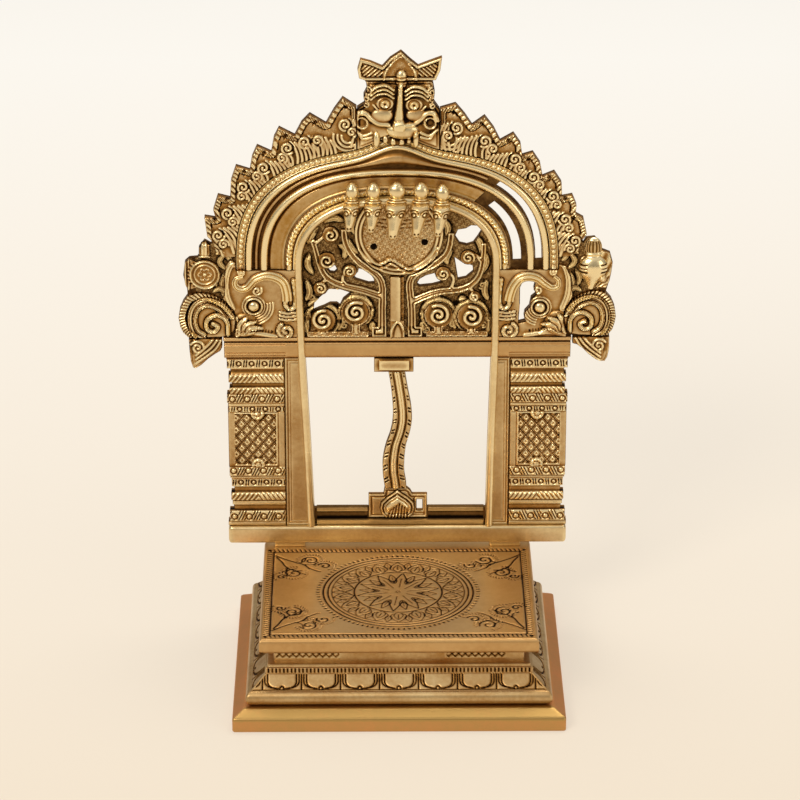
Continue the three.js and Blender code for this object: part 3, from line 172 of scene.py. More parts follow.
# %% World
world = bpy.data.worlds.new("studio")
world.use_nodes = True
tree = world.node_tree
tree.nodes.clear()
direction = add_node(tree, "TexCoord")
split = add_node(tree, "SeparateXYZ", None, {
    0: direction.outputs["Generated"]})
rise = add_node(tree, "MapRange", None, {
    "Value": split.outputs["Z"], "From Min": -0.1, "From Max": 0.9, "To Min": 0.1, "To Max": 0.75})
sky = add_node(tree, "Background", None, {
    "Color": linear("fff8ee"), "Strength": rise.outputs[0]})
backdrop = add_node(tree, "Background", None, {
    "Color": linear("f9f4ec"), "Strength": 1.0})
ray = add_node(tree, "LightPath")
seen = add_node(tree, "Math", {"operation": "ADD"}, {
    0: ray.outputs["Is Camera Ray"], 1: ray.outputs["Is Transmission Ray"]})
mixed = add_node(tree, "MixShader", None, {
    0: seen.outputs[0], 1: sky.outputs[0], 2: backdrop.outputs[0]})
add_node(tree, "OutputWorld", None, {"Surface": mixed.outputs[0]})
bpy.context.scene.world = world
print("world:", world.name)


# %% Lamps
def soft_lamp(name, place, aim, size, power):
    """A rectangular lamp at place, in metres, turned to shine on aim."""
    data = bpy.data.lights.new(name, "AREA")
    data.shape = "RECTANGLE"
    data.size, data.size_y = size
    data.energy = power
    data.color = linear("fff6e8")[:3]
    lamp = bpy.data.objects.new(name, data)
    lamp.location = Vector(place)
    lamp.rotation_euler = (Vector(aim) - Vector(place)).to_track_quat("-Z", "Y").to_euler()
    link(lamp)


soft_lamp("key", (-1.0, -1.5, 1.5), (0, 0, 0.15), (0.9, 0.7), 22)
soft_lamp("fill", (1.5, -1.2, 0.7), (0, 0, 0.15), (0.8, 0.8), 5)
soft_lamp("top", (0.1, 0.5, 1.6), (0, 0, 0.15), (1.2, 0.5), 8)
print("lamps:", [lamp.name for lamp in bpy.data.lights])

# %% [markdown]
# ## Metals
#
# The throne is sand-cast brass, chased by hand and then rubbed bright, so its raised parts shine
# and its recesses keep a dark brown patina. Every carved piece has a vertex attribute, `relief`: 0
# in a deep recess, 0.5 on open ground and 1 on a raised edge. The material turns it into colour and
# roughness, with two noises for uneven rubbing and for the grain of the casting. Its colour is
# partly painted light: the recesses are painted darker, painted shade along with the patina, and
# the raised edges pale cream, a painted highlight along with the polish.


# %% Cast metal
rubbed_patch = 22
coarser = 5


def cast_metal(name, patina_and_shade, body, polish_and_highlight, rough, grain=0.35, tarnish_and_shade=0.0, carved=True):
    """Colour runs from the darkest colour through body to the lightest as relief rises. The darkest
    stands for patina and painted shade, and the lightest for polish and a painted highlight. grain
    is the size in mm of the pits that the casting sand leaves. They are too fine to show, so they
    are drawn five times as coarse. Patches that are rubbed more or less are about 22 mm across. The
    tarnish amount is taken off the relief all over, which paints the whole piece darker: tarnish
    and painted shade."""
    material, tree = new_material(name)
    place = add_node(tree, "TexCoord").outputs["Object"]
    rubbing = add_node(tree, "TexNoise", None, {
        "Vector": place, "Scale": 1 / (rubbed_patch * MM), "Detail": 4.0, "Roughness": 0.6})
    pits = add_node(tree, "TexNoise", None, {
        "Vector": place, "Scale": 1 / (grain * coarser * MM), "Detail": 3.0, "Roughness": 0.65})
    if carved:
        relief = add_node(tree, "Attribute", {"attribute_name": "relief"})
        level = relief.outputs["Fac"]
    else:
        level = add_node(tree, "Math", {"operation": "MULTIPLY_ADD"}, {
            0: pits.outputs["Fac"], 1: 0.42, 2: 0.24}).outputs[0]
    # Uneven rubbing; the tarnish amount darkens the piece all over, tarnish with painted shade.
    uneven = add_node(tree, "Math", {"operation": "MULTIPLY_ADD"}, {
        0: rubbing.outputs["Fac"], 1: 0.34, 2: -0.17 - tarnish_and_shade})
    mottled = add_node(tree, "Math", {"operation": "MULTIPLY_ADD"}, {
        0: pits.outputs["Fac"], 1: 0.16, 2: uneven.outputs[0]})
    # The level that picks colour and roughness: patina and painted shade low, polish and a painted
    # highlight high.
    wear_and_painted_light = add_node(tree, "Math", {"operation": "ADD", "use_clamp": True}, {
        0: level, 1: mottled.outputs[0]})
    ramp = add_node(tree, "ValToRGB", None, {"Fac": wear_and_painted_light.outputs[0]})
    ramp.color_ramp.elements[0].position = 0.2
    ramp.color_ramp.elements[0].color = linear(patina_and_shade)
    ramp.color_ramp.elements[1].position = 0.88
    ramp.color_ramp.elements[1].color = linear(polish_and_highlight)
    middle = ramp.color_ramp.elements.new(0.5)
    middle.color = linear(body)
    dull = add_node(tree, "MapRange", None, {
        "Value": wear_and_painted_light.outputs[0], "From Min": 0.1, "From Max": 0.9,
        "To Min": min(rough + 0.32, 1), "To Max": rough})
    bump = add_node(tree, "Bump", None, {
        "Height": pits.outputs["Fac"], "Strength": 0.35, "Distance": 0.12 * MM})
    metal = add_node(tree, "BsdfPrincipled", None, {
        "Base Color": ramp.outputs["Color"], "Roughness": dull.outputs[0],
        "Normal": bump.outputs["Normal"]})
    metal.inputs["Metallic"].default_value = 1.0
    add_node(tree, "OutputMaterial", None, {"Surface": metal.outputs[0]})
    return material


# %% The throne's metals
# Chased brass: warm yellow, rubbed bright on the raised work with a painted highlight there, and
# nearly black in the cuts from patina and painted shade.
chased_brass = cast_metal("chased_cast_brass", "20120a", "a8793c", "f6e2b0", 0.3)
# Burnished brass: ribs, rod and heads, which hands and polish reach first; their pale raised parts
# are also a painted highlight.
burnished_brass = cast_metal("burnished_cast_brass", "2c1a0c", "b08442", "f8e4b4", 0.26)
# Seat: a flat burnished face, where the punched lines hold the patina and are painted darker as
# painted shade.
seat_brass = cast_metal("punched_seat_brass", "1e1108", "bd9058", "e0be86", 0.32, grain=0.5)
# Plinth: reddish on the sides and brass on the front, with a painted reflection that makes the
# front's shoulder more brass than its foot.
plinth_reddish_brass = cast_metal(
    "reddish_to_brass_painted_reflection", "74391b", "de9a62", "b8965a", 0.36, grain=0.6)
# Back plate: rough sand-cast skin, brown all over.
sand_skin = cast_metal(
    "brown_sand_cast_skin", "1c100a", "5c4022", "a8834c", 0.5, grain=0.8, carved=False)
# Ground of the tympanum and other sunk parts: brass in the same patina, painted darker all over
# as painted shade, with only its leaves rubbed.
patina_and_shade_brass = cast_metal("brass_under_patina_and_painted_shade", "1c1208", "8c693b", "e6cb90", 0.42, tarnish_and_shade=0.1)
# Screws: plain drawn steel, oiled.
oiled_steel = cast_metal("oiled_steel", "2b2a28", "75736e", "a5a29c", 0.35, carved=False)
print("metals:", [m.name for m in bpy.data.materials])

# %% [markdown]
# ## From arrays to a mesh
#
# Every new surface is worked out as whole arrays. A mesh then takes the points and one or more
# groups of faces. All pieces are closed, so the volume they enclose tells whether the faces point
# outwards: where it comes out negative, every face is turned round.

# %% Mesh helpers
# An edge that is bent by more than this is shaded as a sharp one.
SHARP = math.radians(48)
made = {}


def enclosed_volume(points, groups):
    """A sixth of the sum of a . (b x c) over the triangles (a, b, c) that fan out of each face."""
    total = 0.0
    for faces in groups:
        for k in range(1, faces.shape[1] - 1):
            a, b, c = points[faces[:, 0]], points[faces[:, k]], points[faces[:, k + 1]]
            total += np.einsum("ij,ij->", a, np.cross(b, c))
    return total / 6


def add_piece(name, points, groups, material, body, nodes, slot, relief=0.62):
    """Makes one closed piece that rides on a body and stands for CAD nodes."""
    points = np.asarray(points, float).reshape(-1, 3)
    if enclosed_volume(points, groups) < 0:
        groups = [faces[:, ::-1] for faces in groups]
    corners = np.concatenate([faces.ravel() for faces in groups]).astype(np.int32)
    counts = np.concatenate([np.full(len(faces), faces.shape[1]) for faces in groups])
    starts = np.concatenate([[0], np.cumsum(counts)[:-1]]).astype(np.int32)
    mesh = bpy.data.meshes.new(name)
    mesh.vertices.add(len(points))
    mesh.vertices.foreach_set("co", (points * MM).astype(np.float32).ravel())
    mesh.loops.add(len(corners))
    mesh.loops.foreach_set("vertex_index", corners)
    mesh.polygons.add(len(starts))
    mesh.polygons.foreach_set("loop_start", starts)
    mesh.update(calc_edges=True)
    mesh.polygons.foreach_set("use_smooth", np.ones(len(starts), bool))
    mesh.set_sharp_from_angle(angle=SHARP)
    levels = np.broadcast_to(np.asarray(relief, float).ravel(), len(points))
    mesh.attributes.new("relief", "FLOAT", "POINT").data.foreach_set(
        "value", levels.astype(np.float32))
    mesh.materials.append(material)
    piece = bpy.data.objects.new(name, mesh)
    link(piece)
    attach(piece, body)
    if nodes:
        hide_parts(*nodes)
    made[name] = int((counts - 2).sum())
    print(name, "has", made[name], "triangles")


def tube_faces(rows, columns):
    """Four-sided faces between rings of points, and one cap on the first and last ring."""
    index = np.arange(rows * columns).reshape(rows, columns)
    after = np.roll(index, -1, axis=1)
    sides = np.stack([index[:-1], after[:-1], after[1:], index[1:]], axis=-1).reshape(-1, 4)
    return [sides, index[:1, ::-1], index[-1:]]


print("a tube of 3 rings of 8 points has", sum(map(len, tube_faces(3, 8))), "faces")


# %% Rounded block
def rounded_box(low, high, radius, step=1.5):
    """Rings round a box along its longest side. A ring is a rectangle with a quarter circle of the
    radius at each corner. At both ends the rings close in along a quarter circle too, so that every
    edge is rounded alike."""
    low, high = np.array(low, float), np.array(high, float)
    size = high - low
    long = int(np.argmax(size))
    u, v = [axis for axis in range(3) if axis != long]
    bend = np.linspace(0, math.pi / 2, 6)
    run = np.arange(radius, size[long] - radius, step)[1:]
    travel = np.concatenate([radius * (1 - np.cos(bend)), run,
                             size[long] - radius * (1 - np.cos(bend[::-1]))])
    pull = np.concatenate([radius * (1 - np.sin(bend)), np.zeros(len(run)),
                           radius * (1 - np.sin(bend[::-1]))])
    turn = np.linspace(0, 2 * math.pi, 48, endpoint=False)
    half_u = size[u] / 2 - pull[:, None] - radius
    half_v = size[v] / 2 - pull[:, None] - radius
    corner_u = np.sign(np.cos(turn)) * (np.abs(np.cos(turn)) > 1e-9)
    corner_v = np.sign(np.sin(turn)) * (np.abs(np.sin(turn)) > 1e-9)
    points = np.empty((len(travel), len(turn), 3))
    points[..., long] = low[long] + travel[:, None]
    points[..., u] = (low[u] + high[u]) / 2 + half_u * corner_u + radius * np.cos(turn)
    points[..., v] = (low[v] + high[v]) / 2 + half_v * corner_v + radius * np.sin(turn)
    return points


# %% [markdown]
# ## Castings as height fields
#
# Each ornament of the panel is a flat-backed casting. Its outline is read from the frame: the
# edges of the flat back of its CAD node. Inside that outline a square grid holds a height over the
# back, and the carving is drawn on it as a carver would, with ridges, grooves, domes and pits
# along smooth paths. The grid's outermost points are moved onto the outline, the edge is rounded
# over, and a flat back and a rim close the piece.

# %% Outlines from the frame
STEP = 0.34
print("height fields are on a", STEP, "mm grid")


def node_triangles(node):
    """Corner positions of a CAD node's triangles in mm, as an array of (triangle, corner, xyz)."""
    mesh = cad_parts[node].data
    mesh.calc_loop_triangles()
    places = np.empty(len(mesh.vertices) * 3, np.float32)
    mesh.vertices.foreach_get("co", places)
    index = np.empty(len(mesh.loop_triangles) * 3, np.int32)
    mesh.loop_triangles.foreach_get("vertices", index)
    return places.reshape(-1, 3)[index].reshape(-1, 3, 3) / MM


def back_outline(node, back):
    """Edges of the flat face at y = back: those that only one of its triangles has. Each edge is
    written from its lower end, so that two triangles that share it write it alike."""
    corners = node_triangles(node)
    face = corners[np.all(np.abs(corners[..., 1] - back) < 0.03, axis=1)][..., [0, 2]]
    starts = np.round(face, 3).reshape(-1, 2)
    ends = np.roll(np.round(face, 3), -1, axis=1).reshape(-1, 2)
    swap = ((starts[:, 0] > ends[:, 0])
            | ((starts[:, 0] == ends[:, 0]) & (starts[:, 1] > ends[:, 1])))
    edges = np.where(swap[:, None], np.hstack([ends, starts]), np.hstack([starts, ends]))
    edges, uses = np.unique(edges, axis=0, return_counts=True)
    rim = edges[uses == 1]
    return rim[:, :2], rim[:, 2:]


def closed_outline(points):
    """The edges of a loop through the points."""
    loop = np.asarray(points, float)
    return loop, np.roll(loop, -1, axis=0)


def signed_distance(x, z, starts, ends):
    """Distance to the nearest edge, counted positive inside. A point is inside if a line to its
    right crosses the outline an odd number of times."""
    nearest = np.full(x.shape, 1e9)
    inside = np.zeros(x.shape, bool)
    for (ax, az), (bx, bz) in zip(starts, ends):
        ex, ez = bx - ax, bz - az
        t = np.clip(((x - ax) * ex + (z - az) * ez) / (ex * ex + ez * ez + 1e-12), 0, 1)
        nearest = np.minimum(nearest, np.hypot(x - ax - t * ex, z - az - t * ez))
        if abs(ez) > 1e-9:
            inside ^= ((az > z) != (bz > z)) & (x < ex * (z - az) / ez + ax)
    return np.where(inside, nearest, -nearest)


# %% Paths
def smooth(points, count=8):
    """A Catmull-Rom curve: it passes through every point and leaves it parallel to the line
    between its neighbours."""
    p = np.asarray(points, float)
    p = np.vstack([2 * p[0] - p[1], p, 2 * p[-1] - p[-2]])
    t = np.linspace(0, 1, count, endpoint=False)[:, None, None]
    a, b, c, d = p[:-3], p[1:-2], p[2:-1], p[3:]
    curve = 0.5 * (2 * b + (c - a) * t + (2 * a - 5 * b + 4 * c - d) * t ** 2
                   + (3 * b - a - 3 * c + d) * t ** 3)
    return np.vstack([curve.transpose(1, 0, 2).reshape(-1, p.shape[1]), p[-2]])


def spiral(x, z, outer, inner, start, turns):
    """Radius falls evenly from outer to inner as the angle runs through the turns, from start
    in degrees."""
    t = np.linspace(0, 1, int(abs(turns) * 18) + 3)
    radius = outer + (inner - outer) * t
    angle = math.radians(start) + 2 * math.pi * turns * t
    return np.column_stack([x + radius * np.cos(angle), z + radius * np.sin(angle)])


def path_offset(x, z, path):
    """Signed distance of every point from a path, positive on its left, and place along it."""
    nearest = np.full(x.shape, 1e9)
    side = np.ones(x.shape)
    along = np.zeros(x.shape)
    travelled = 0.0
    for (ax, az), (bx, bz) in zip(path[:-1], path[1:]):
        ex, ez = bx - ax, bz - az
        length = math.hypot(ex, ez)
        t = np.clip(((x - ax) * ex + (z - az) * ez) / (length * length + 1e-12), 0, 1)
        far = np.hypot(x - ax - t * ex, z - az - t * ez)
        closer = far < nearest
        nearest = np.where(closer, far, nearest)
        side = np.where(closer, np.where(ex * (z - az) > ez * (x - ax), 1.0, -1.0), side)
        along = np.where(closer, travelled + t * length, along)
        travelled += length
    return nearest * side, along


print("a full turn of a spiral has", len(spiral(0, 0, 2, 1, 0, 1)), "points")


# %% Profiles of a cut and of a ridge
def bell(value, at, width):
    """exp(-((value - at) / width)^2): 1 where value is at, with soft sides."""
    return np.exp(-((value - at) / width) ** 2)


def wave(value, pitch):
    """cos(2 pi value / pitch): 1 once in each pitch."""
    return np.cos(2 * math.pi * value / pitch)


def half_round(value):
    """sqrt(1 - value^2): half a circle, and 0 beyond -1 and 1."""
    return np.sqrt(np.clip(1 - value ** 2, 0, 1))


def swelling(inside, width):
    """1 - exp(-inside / width): 0 on the outline, and nearly 1 a few widths in from it."""
    return 1 - np.exp(-np.clip(inside, 0, None) / width)


print("a bell one width from its middle:", round(bell(1.0, 0, 1), 3))


# %% Casting: a height field that can be carved
class Casting:
    """Heights in mm over a flat back, on a grid of two plane coordinates x and z. inside is the
    distance in from the outline."""

    def __init__(self, x, z, inside, ground):
        self.x, self.z, self.inside = x, z, inside
        self.height = np.full(x.shape, float(ground))
        self.ground = self.height.copy()

    def settle(self):
        """What is there now becomes the ground that the next ridges stand on."""
        self.ground = self.height.copy()

    def far(self, x, z):
        """Distance of every point from one point."""
        return np.hypot(self.x - x, self.z - z)

    def near(self, path, reach):
        """The part of the grid round a path, with each point's offset and place along it."""
        path = np.asarray(path, float)
        low, high = path.min(0) - reach, path.max(0) + reach
        i = slice(*np.searchsorted(self.x[:, 0], [low[0], high[0]]))
        j = slice(*np.searchsorted(self.z[0], [low[1], high[1]]))
        return (i, j), *path_offset(self.x[i, j], self.z[i, j], path)

    def ridge(self, path, width, height):
        """A round-topped ridge: height * sqrt(1 - (2 offset / width)^2)."""
        window, offset, _ = self.near(path, width)
        swell = height * half_round(offset / (width / 2))
        self.height[window] = np.maximum(self.height[window], self.ground[window] + swell)

    def groove(self, path, width, depth):
        """A cut with soft sides: depth * exp(-(2 offset / width)^2)."""
        window, offset, _ = self.near(path, width * 1.5)
        self.height[window] -= depth * bell(offset, 0, width / 2)

    def notches(self, path, width, pitch, depth, lean=0.0):
        """Cuts across a band round a path, one in each pitch: depth * wave(along + lean *
        offset), where that is over 0."""
        window, offset, along = self.near(path, width)
        cut = depth * np.clip(wave(along + lean * offset, pitch), 0, 1)
        self.height[window] -= cut * (np.abs(offset) < width / 2)

    def dome(self, x, z, rx, rz, height):
        """Half an ellipsoid: height * sqrt(1 - (x / rx)^2 - (z / rz)^2)."""
        far = ((self.x - x) / rx) ** 2 + ((self.z - z) / rz) ** 2
        swell = height * np.sqrt(np.clip(1 - far, 0, 1))
        self.height = np.maximum(self.height, self.ground + swell)

    def pit(self, x, z, radius, depth):
        """A flat-bottomed hollow with soft walls: depth * exp(-(distance / radius)^6)."""
        self.height -= depth * np.exp(-(self.far(x, z) / radius) ** 6)

    def contour(self, at, width, depth):
        """A groove that follows the outline at a distance: a bell of inside."""
        self.height -= depth * bell(self.inside, at, width / 2)


def casting_over(outline, ground, step=STEP):
    """A casting on a square grid over an outline."""
    starts, ends = outline
    low = np.minimum(starts.min(0), ends.min(0)) - 2.3 * step
    high = np.maximum(starts.max(0), ends.max(0)) + 3 * step
    x, z = np.meshgrid(np.arange(low[0], high[0], step), np.arange(low[1], high[1], step),
                       indexing="ij")
    return Casting(x, z, signed_distance(x, z, starts, ends), ground)


# %% Blur and relief
def blur(values, size):
    """Mean over a square of size by size grid steps, from running sums."""
    for axis in (0, 1):
        padded = np.pad(values, [(size // 2 + 1, size // 2) if a == axis else (0, 0)
                                 for a in (0, 1)], mode="edge")
        sums = np.cumsum(padded, axis=axis)
        count = values.shape[axis]
        values = (np.take(sums, range(size, size + count), axis)
                  - np.take(sums, range(count), axis)) / size
    return values


def relief_levels(height, keep, step):
    """0.54 plus 0.8 of how many mm a point stands over the mean height round it. The mean is taken
    over squares of about 2.6 mm. A point below its surroundings is painted darker, patina with
    painted shade, and one above them lighter, polish with a painted highlight."""
    size = max(3, int(round(2.6 / step)) | 1)
    weight = blur(blur(keep.astype(float), size), size)
    mean = blur(blur(height * keep, size), size) / np.maximum(weight, 1e-3)
    return np.clip(0.54 + 0.8 * (height - mean), 0, 1)


# %% Closing a casting
def add_casting(name, casting, nodes, back, material=None, slot="brass", edge=0.7):
    """Closes a casting with a flat back at y = back and a rim, and adds it as a piece.

    A cell of the grid is kept where the mean of inside at its four corners is over 0, and the
    outermost points move down the slope of inside onto the outline. The height falls by a quarter
    circle over the last edge mm before the outline."""
    inside, height = casting.inside, casting.height
    step = casting.x[1, 0] - casting.x[0, 0]
    cell = inside[:-1, :-1] + inside[1:, :-1] + inside[:-1, 1:] + inside[1:, 1:] > 0
    padded = np.pad(cell, 1).astype(int)
    touching = padded[:-1, :-1] + padded[1:, :-1] + padded[:-1, 1:] + padded[1:, 1:]
    used = touching > 0
    outer = used & (touching < 4)
    gx, gz = np.gradient(inside, step)
    slope = np.maximum(np.hypot(gx, gz), 0.5)
    shift = np.where(outer, np.clip(inside, -step, step), 0) / slope
    x, z = casting.x - shift * gx, casting.z - shift * gz
    depth = np.where(outer, 0, np.clip(inside, 0, edge)) / edge
    height = height - edge * (1 - np.sqrt(1 - (1 - depth) ** 2))
    height = np.maximum(height, 0.4)
    number = np.cumsum(used.ravel()).reshape(used.shape) - 1
    total = int(used.sum())
    front = np.column_stack([x[used], back - height[used], z[used]])
    rear = np.column_stack([x[used], np.full(total, back), z[used]])
    a, b = number[:-1, :-1], number[1:, :-1]
    c, d = number[1:, 1:], number[:-1, 1:]
    faces = np.stack([a, b, c, d], axis=-1)[cell]
    rim = []
    for p, q, beyond in ((a, b, padded[1:-1, :-2]), (b, c, padded[2:, 1:-1]),
                         (c, d, padded[1:-1, 2:]), (d, a, padded[:-2, 1:-1])):
        open_side = cell & (beyond == 0)
        p, q = p[open_side], q[open_side]
        rim.append(np.stack([q, p, p + total, q + total], axis=-1))
    levels = relief_levels(height, used, step)[used]
    relief = np.concatenate([levels, np.full(total, 0.4)])
    add_piece(name, np.vstack([front, rear]), [faces, faces[:, ::-1] + total, np.vstack(rim)],
              material or chased_brass, PANEL, nodes, slot, relief)


# %% Castings that stand for a node
def node_casting(node, back, ground, step=STEP):
    """A casting over the flat back of a CAD node, which lies at y = back."""
    casting = casting_over(back_outline(node, back), ground, step)
    casting.node, casting.back = node, back
    return casting


def finish(casting, material=None, slot="brass", edge=0.7):
    """Adds a casting in the place of its node."""
    add_casting(casting.node, casting, [casting.node], casting.back, material, slot, edge)


print("a casting has points", STEP, "mm apart")

# %% [markdown]
# ## Pedestal courses
#
# The pedestal is a stack of hollow square castings. Each one is a moulding: a section carried round
# four mitred corners. The section is worked out as a smooth closed line, the corners of the plan
# are rounded a little as casting and polish leave them, and small carving such as petals, ticks and
# crossed lines is added as a push outwards along the section's normal.

# %% Carry a section round the pedestal
plinth_high = np.array(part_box("plinth")[1]) / MM
HALF_X, HALF_Y = plinth_high[0], plinth_high[1]
# At the back a course steps in by this share of its inset on the other sides.
BACK_STEP = 0.85
# Radius of the four corners of the plan, and the distance between two rings along a side.
CORNER = 1.1
ALONG = 0.42
print("half-sizes of the plinth:", round(HALF_X, 2), round(HALF_Y, 2))


def fine_section(points, step=0.45):
    """The same closed loop with points no further apart than step on its outer side."""
    loop = np.vstack([points, points[:1]]).astype(float)
    pieces = []
    for a, b in zip(loop[:-1], loop[1:]):
        outside = min(a[0], b[0]) < 20 and abs(b[1] - a[1]) > 0.3
        count = max(1, int(np.hypot(*(b - a)) / step)) if outside else 1
        pieces.append(a + (b - a) * np.linspace(0, 1, count, endpoint=False)[:, None])
    return np.vstack(pieces)


def pedestal_rings(section, carve, spacing):
    """Rings of points: row = place round the plan, column = place on the section.

    A side runs from one mitred corner to the next, less the corner radius at both ends; the corner
    is a quarter circle. carve(side, across, inset, height) gives the push along the normal, where
    across is the distance from the middle of the side."""
    section = np.asarray(section, float)
    ahead = np.roll(section, -1, axis=0) - np.roll(section, 1, axis=0)
    normal = np.column_stack([-ahead[:, 1], ahead[:, 0]])
    normal /= np.maximum(np.linalg.norm(normal, axis=1, keepdims=True), 1e-9)
    inset, height = section.T
    corner_x = HALF_X - inset
    front, rear = -(HALF_Y - inset), HALF_Y - inset * BACK_STEP
    corners = [(-corner_x, front), (corner_x, front), (corner_x, rear), (-corner_x, rear)]
    rings = []
    for side in range(4):
        a = np.stack(corners[side], axis=-1)
        b = np.stack(corners[(side + 1) % 4], axis=-1)
        along = np.array([(1, 0), (0, 1), (-1, 0), (0, -1)][side], float)
        out = np.array([(0, -1), (1, 0), (0, 1), (-1, 0)][side], float)
        length = ((b - a) @ along)[None, :]
        count = int(length.max() / spacing)
        share = np.linspace(0, 1, count)[:, None]
        across = (share - 0.5) * (length - 2 * CORNER)
        middle = ((a + b) / 2)[None]
        push = np.zeros((count, len(section)))
        if carve is not None:
            push = carve(side, across, inset[None], height[None]) + push
        place = middle + across[..., None] * along + push[..., None] * normal[None, :, :1] * -out
        rings.append(np.dstack([place, height + push * normal[:, 1]]))
        turn = np.linspace(0, math.pi / 2, 6)[1:-1, None, None]
        centre = b - CORNER * (out + along)
        arc = centre + CORNER * (np.cos(turn) * out + np.sin(turn) * along)
        rings.append(np.dstack([arc, np.broadcast_to(height, (len(turn), len(section)))]))
    return np.concatenate(rings)


def ring_faces(rows, columns):
    """Four-sided faces of a tube whose section and whose course are both closed loops."""
    index = np.arange(rows * columns).reshape(rows, columns)
    right, down = np.roll(index, -1, axis=1), np.roll(index, -1, axis=0)
    both = np.roll(right, -1, axis=0)
    return [np.stack([index, right, both, down], axis=-1).reshape(-1, 4)]


def add_course(name, section, carve=None, level=0.6, material=None, slot="brass", spacing=ALONG):
    """Adds one course. Its relief is its level, less 1.3 for each mm that the carving cuts in and
    plus 0.25 for each mm that it stands out, so cuts are painted darker as patina and painted shade
    and what stands out lighter as polish and a painted highlight."""
    section = fine_section(section)
    plain = pedestal_rings(section, None, spacing)
    cut = pedestal_rings(section, carve, spacing)
    raised = np.sum(np.abs(cut - plain), axis=2)
    lowered = np.linalg.norm(cut[..., :2], axis=2) < np.linalg.norm(plain[..., :2], axis=2) - 1e-4
    level = level(cut) if callable(level) else level
    relief = np.clip(level + np.where(lowered, -1.3, 0.25) * raised, 0, 1)
    add_piece(name, cut, ring_faces(*cut.shape[:2]), material or chased_brass, PEDESTAL, [name],
              slot, relief)


def soft_corners(points, radius):
    """Each corner of a loop is cut back to two points and a middle one, which rounds it."""
    p = np.asarray(points, float)
    before, after = np.roll(p, 1, axis=0), np.roll(p, -1, axis=0)
    into, out = before - p, after - p
    long_in, long_out = np.linalg.norm(into, axis=1), np.linalg.norm(out, axis=1)
    cut = np.minimum(radius, 0.4 * np.minimum(long_in, long_out))
    a = p + into * (cut / long_in)[:, None]
    b = p + out * (cut / long_out)[:, None]
    return np.stack([a, (a + b + 2 * p) / 4, b], axis=1).reshape(-1, 2)


# %% [markdown]
# The plinth is a plain upright face with a sloped shoulder. Inside, a flange takes the screws. The
# front is brass and the sides are reddish, which the relief level tells: one ramp runs from the
# reddish colour to brass. On the front the sloped shoulder is painted more brass and the foot more
# reddish, a painted reflection of the light from above.

# %% Plinth
plinth_top, flange_reach, plinth_wall = plinth_high[2], 36, 11.5
plinth_section = soft_corners([
    (0.4, 0), (0, 0.6), (0, 7.2), (5.6, plinth_top), (flange_reach, plinth_top),
    (flange_reach, plinth_top - 3), (plinth_wall, plinth_top - 3), (plinth_wall, 0)], 0.7)


def plinth_level(points):
    """Relief level of a point of the plinth: 0.8 on the shoulder in front, 0.66 on the upright
    face under it and 0.5 on the other sides, with the change at the mitred corners. The higher
    level on the shoulder is a painted reflection of the light from above."""
    front = np.clip((-points[..., 1] - HALF_Y + 7.5) / 1.2, 0, 1)
    mitre = HALF_X - np.abs(points[..., 0]) - HALF_Y - points[..., 1]
    front = front * np.clip(mitre / 0.8 + 1, 0, 1)
    return 0.5 + 0.3 * front - 0.14 * front * (points[..., 2] < 6)


add_course("plinth", plinth_section, level=plinth_level, material=plinth_reddish_brass, slot="copper_brass",
           spacing=2.5)

# %% [markdown]
# The lotus course is a round torus under a sloped bed. On the bed stand seven lotus petals in
# front, cut as double U-shaped lines with a small ring at the foot of each. The other sides repeat
# them at the same spacing, as such pedestals do.

# %% Lotus course
lotus_low, lotus_high = [np.array(v)[2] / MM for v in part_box("lotus_course")]
bed_low, bed_high = lotus_low + 7.6, lotus_high
petal_count, petal_margin, bed_length = 7, 14.5, 8.6
petal_pitch = (2 * HALF_X - 2 * petal_margin) / petal_count
torus_turn = np.linspace(-0.5 * math.pi, 0.5 * math.pi, 14)
torus = np.column_stack([9.0 - 2.7 * np.cos(torus_turn),
                         lotus_low + 3.9 + 3.5 * np.sin(torus_turn)])
bed = [(9.2, lotus_low + 7.5), (9.0, bed_low + 0.3), (15.2, bed_high - 0.2), (15.6, bed_high),
       (24.8, bed_high), (24.8, lotus_low)]
lotus_section = np.vstack([[(9.6, lotus_low)], torus, bed])


def petal_carving(side, across, inset, height):
    """Lines cut in the flat bed. c is the distance across from the middle of a petal and v runs up
    the bed. A petal's line is where |c / half|^3 + low^2.4 = 1, with low growing from 0 at v = 0.62
    to 1 near the foot, and a small ring sits at its lowest point."""
    c = (np.mod(across / petal_pitch + 0.5, 1) - 0.5) * petal_pitch
    v = (height - bed_low) / (bed_high - bed_low)
    low = np.clip(0.62 - v, 0, None) / 0.46
    ring = np.hypot(c, (v - 0.17) * bed_length)
    cut = np.exp(-((np.abs(c) - 0.5 * petal_pitch) / 0.3) ** 2)
    for half in (0.37, 0.44):
        far = (np.abs(c / (half * petal_pitch)) ** 3 + low ** 2.4) ** (1 / 2.7)
        cut = cut + bell((far - 1) * half * petal_pitch, 0, 0.34)
    cut = np.where(ring < 1.5, bell(ring, 0.95, 0.32), cut)
    cut = cut + bell((v - 0.05) * bed_length, 0, 0.3)
    on_bed = (inset > 8.8) & (inset < 15.4) & (v > 0) & (v < 1)
    return np.where(on_bed, -0.42 * np.clip(cut, 0, 1), 0)


add_course("lotus_course", lotus_section, petal_carving, level=0.54)
print("petals are", round(petal_pitch, 1), "mm apart")

# %% [markdown]
# Over it come a band of fine upright ticks and a plain neck. On the neck's front two raised panels
# carry crossed lines, cut with a chisel a little over 2 mm apart.

# %% Tick band
tick_pitch = 1.85
dentil_low, dentil_high = [np.array(v)[2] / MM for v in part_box("dentil_course")]
dentil_section = soft_corners([
    (16.2, dentil_low), (15.6, dentil_low + 0.5), (15.6, dentil_low + 3.5),
    (16.8, dentil_low + 3.9), (16.8, dentil_high), (24.8, dentil_high), (24.8, dentil_low)], 0.3)


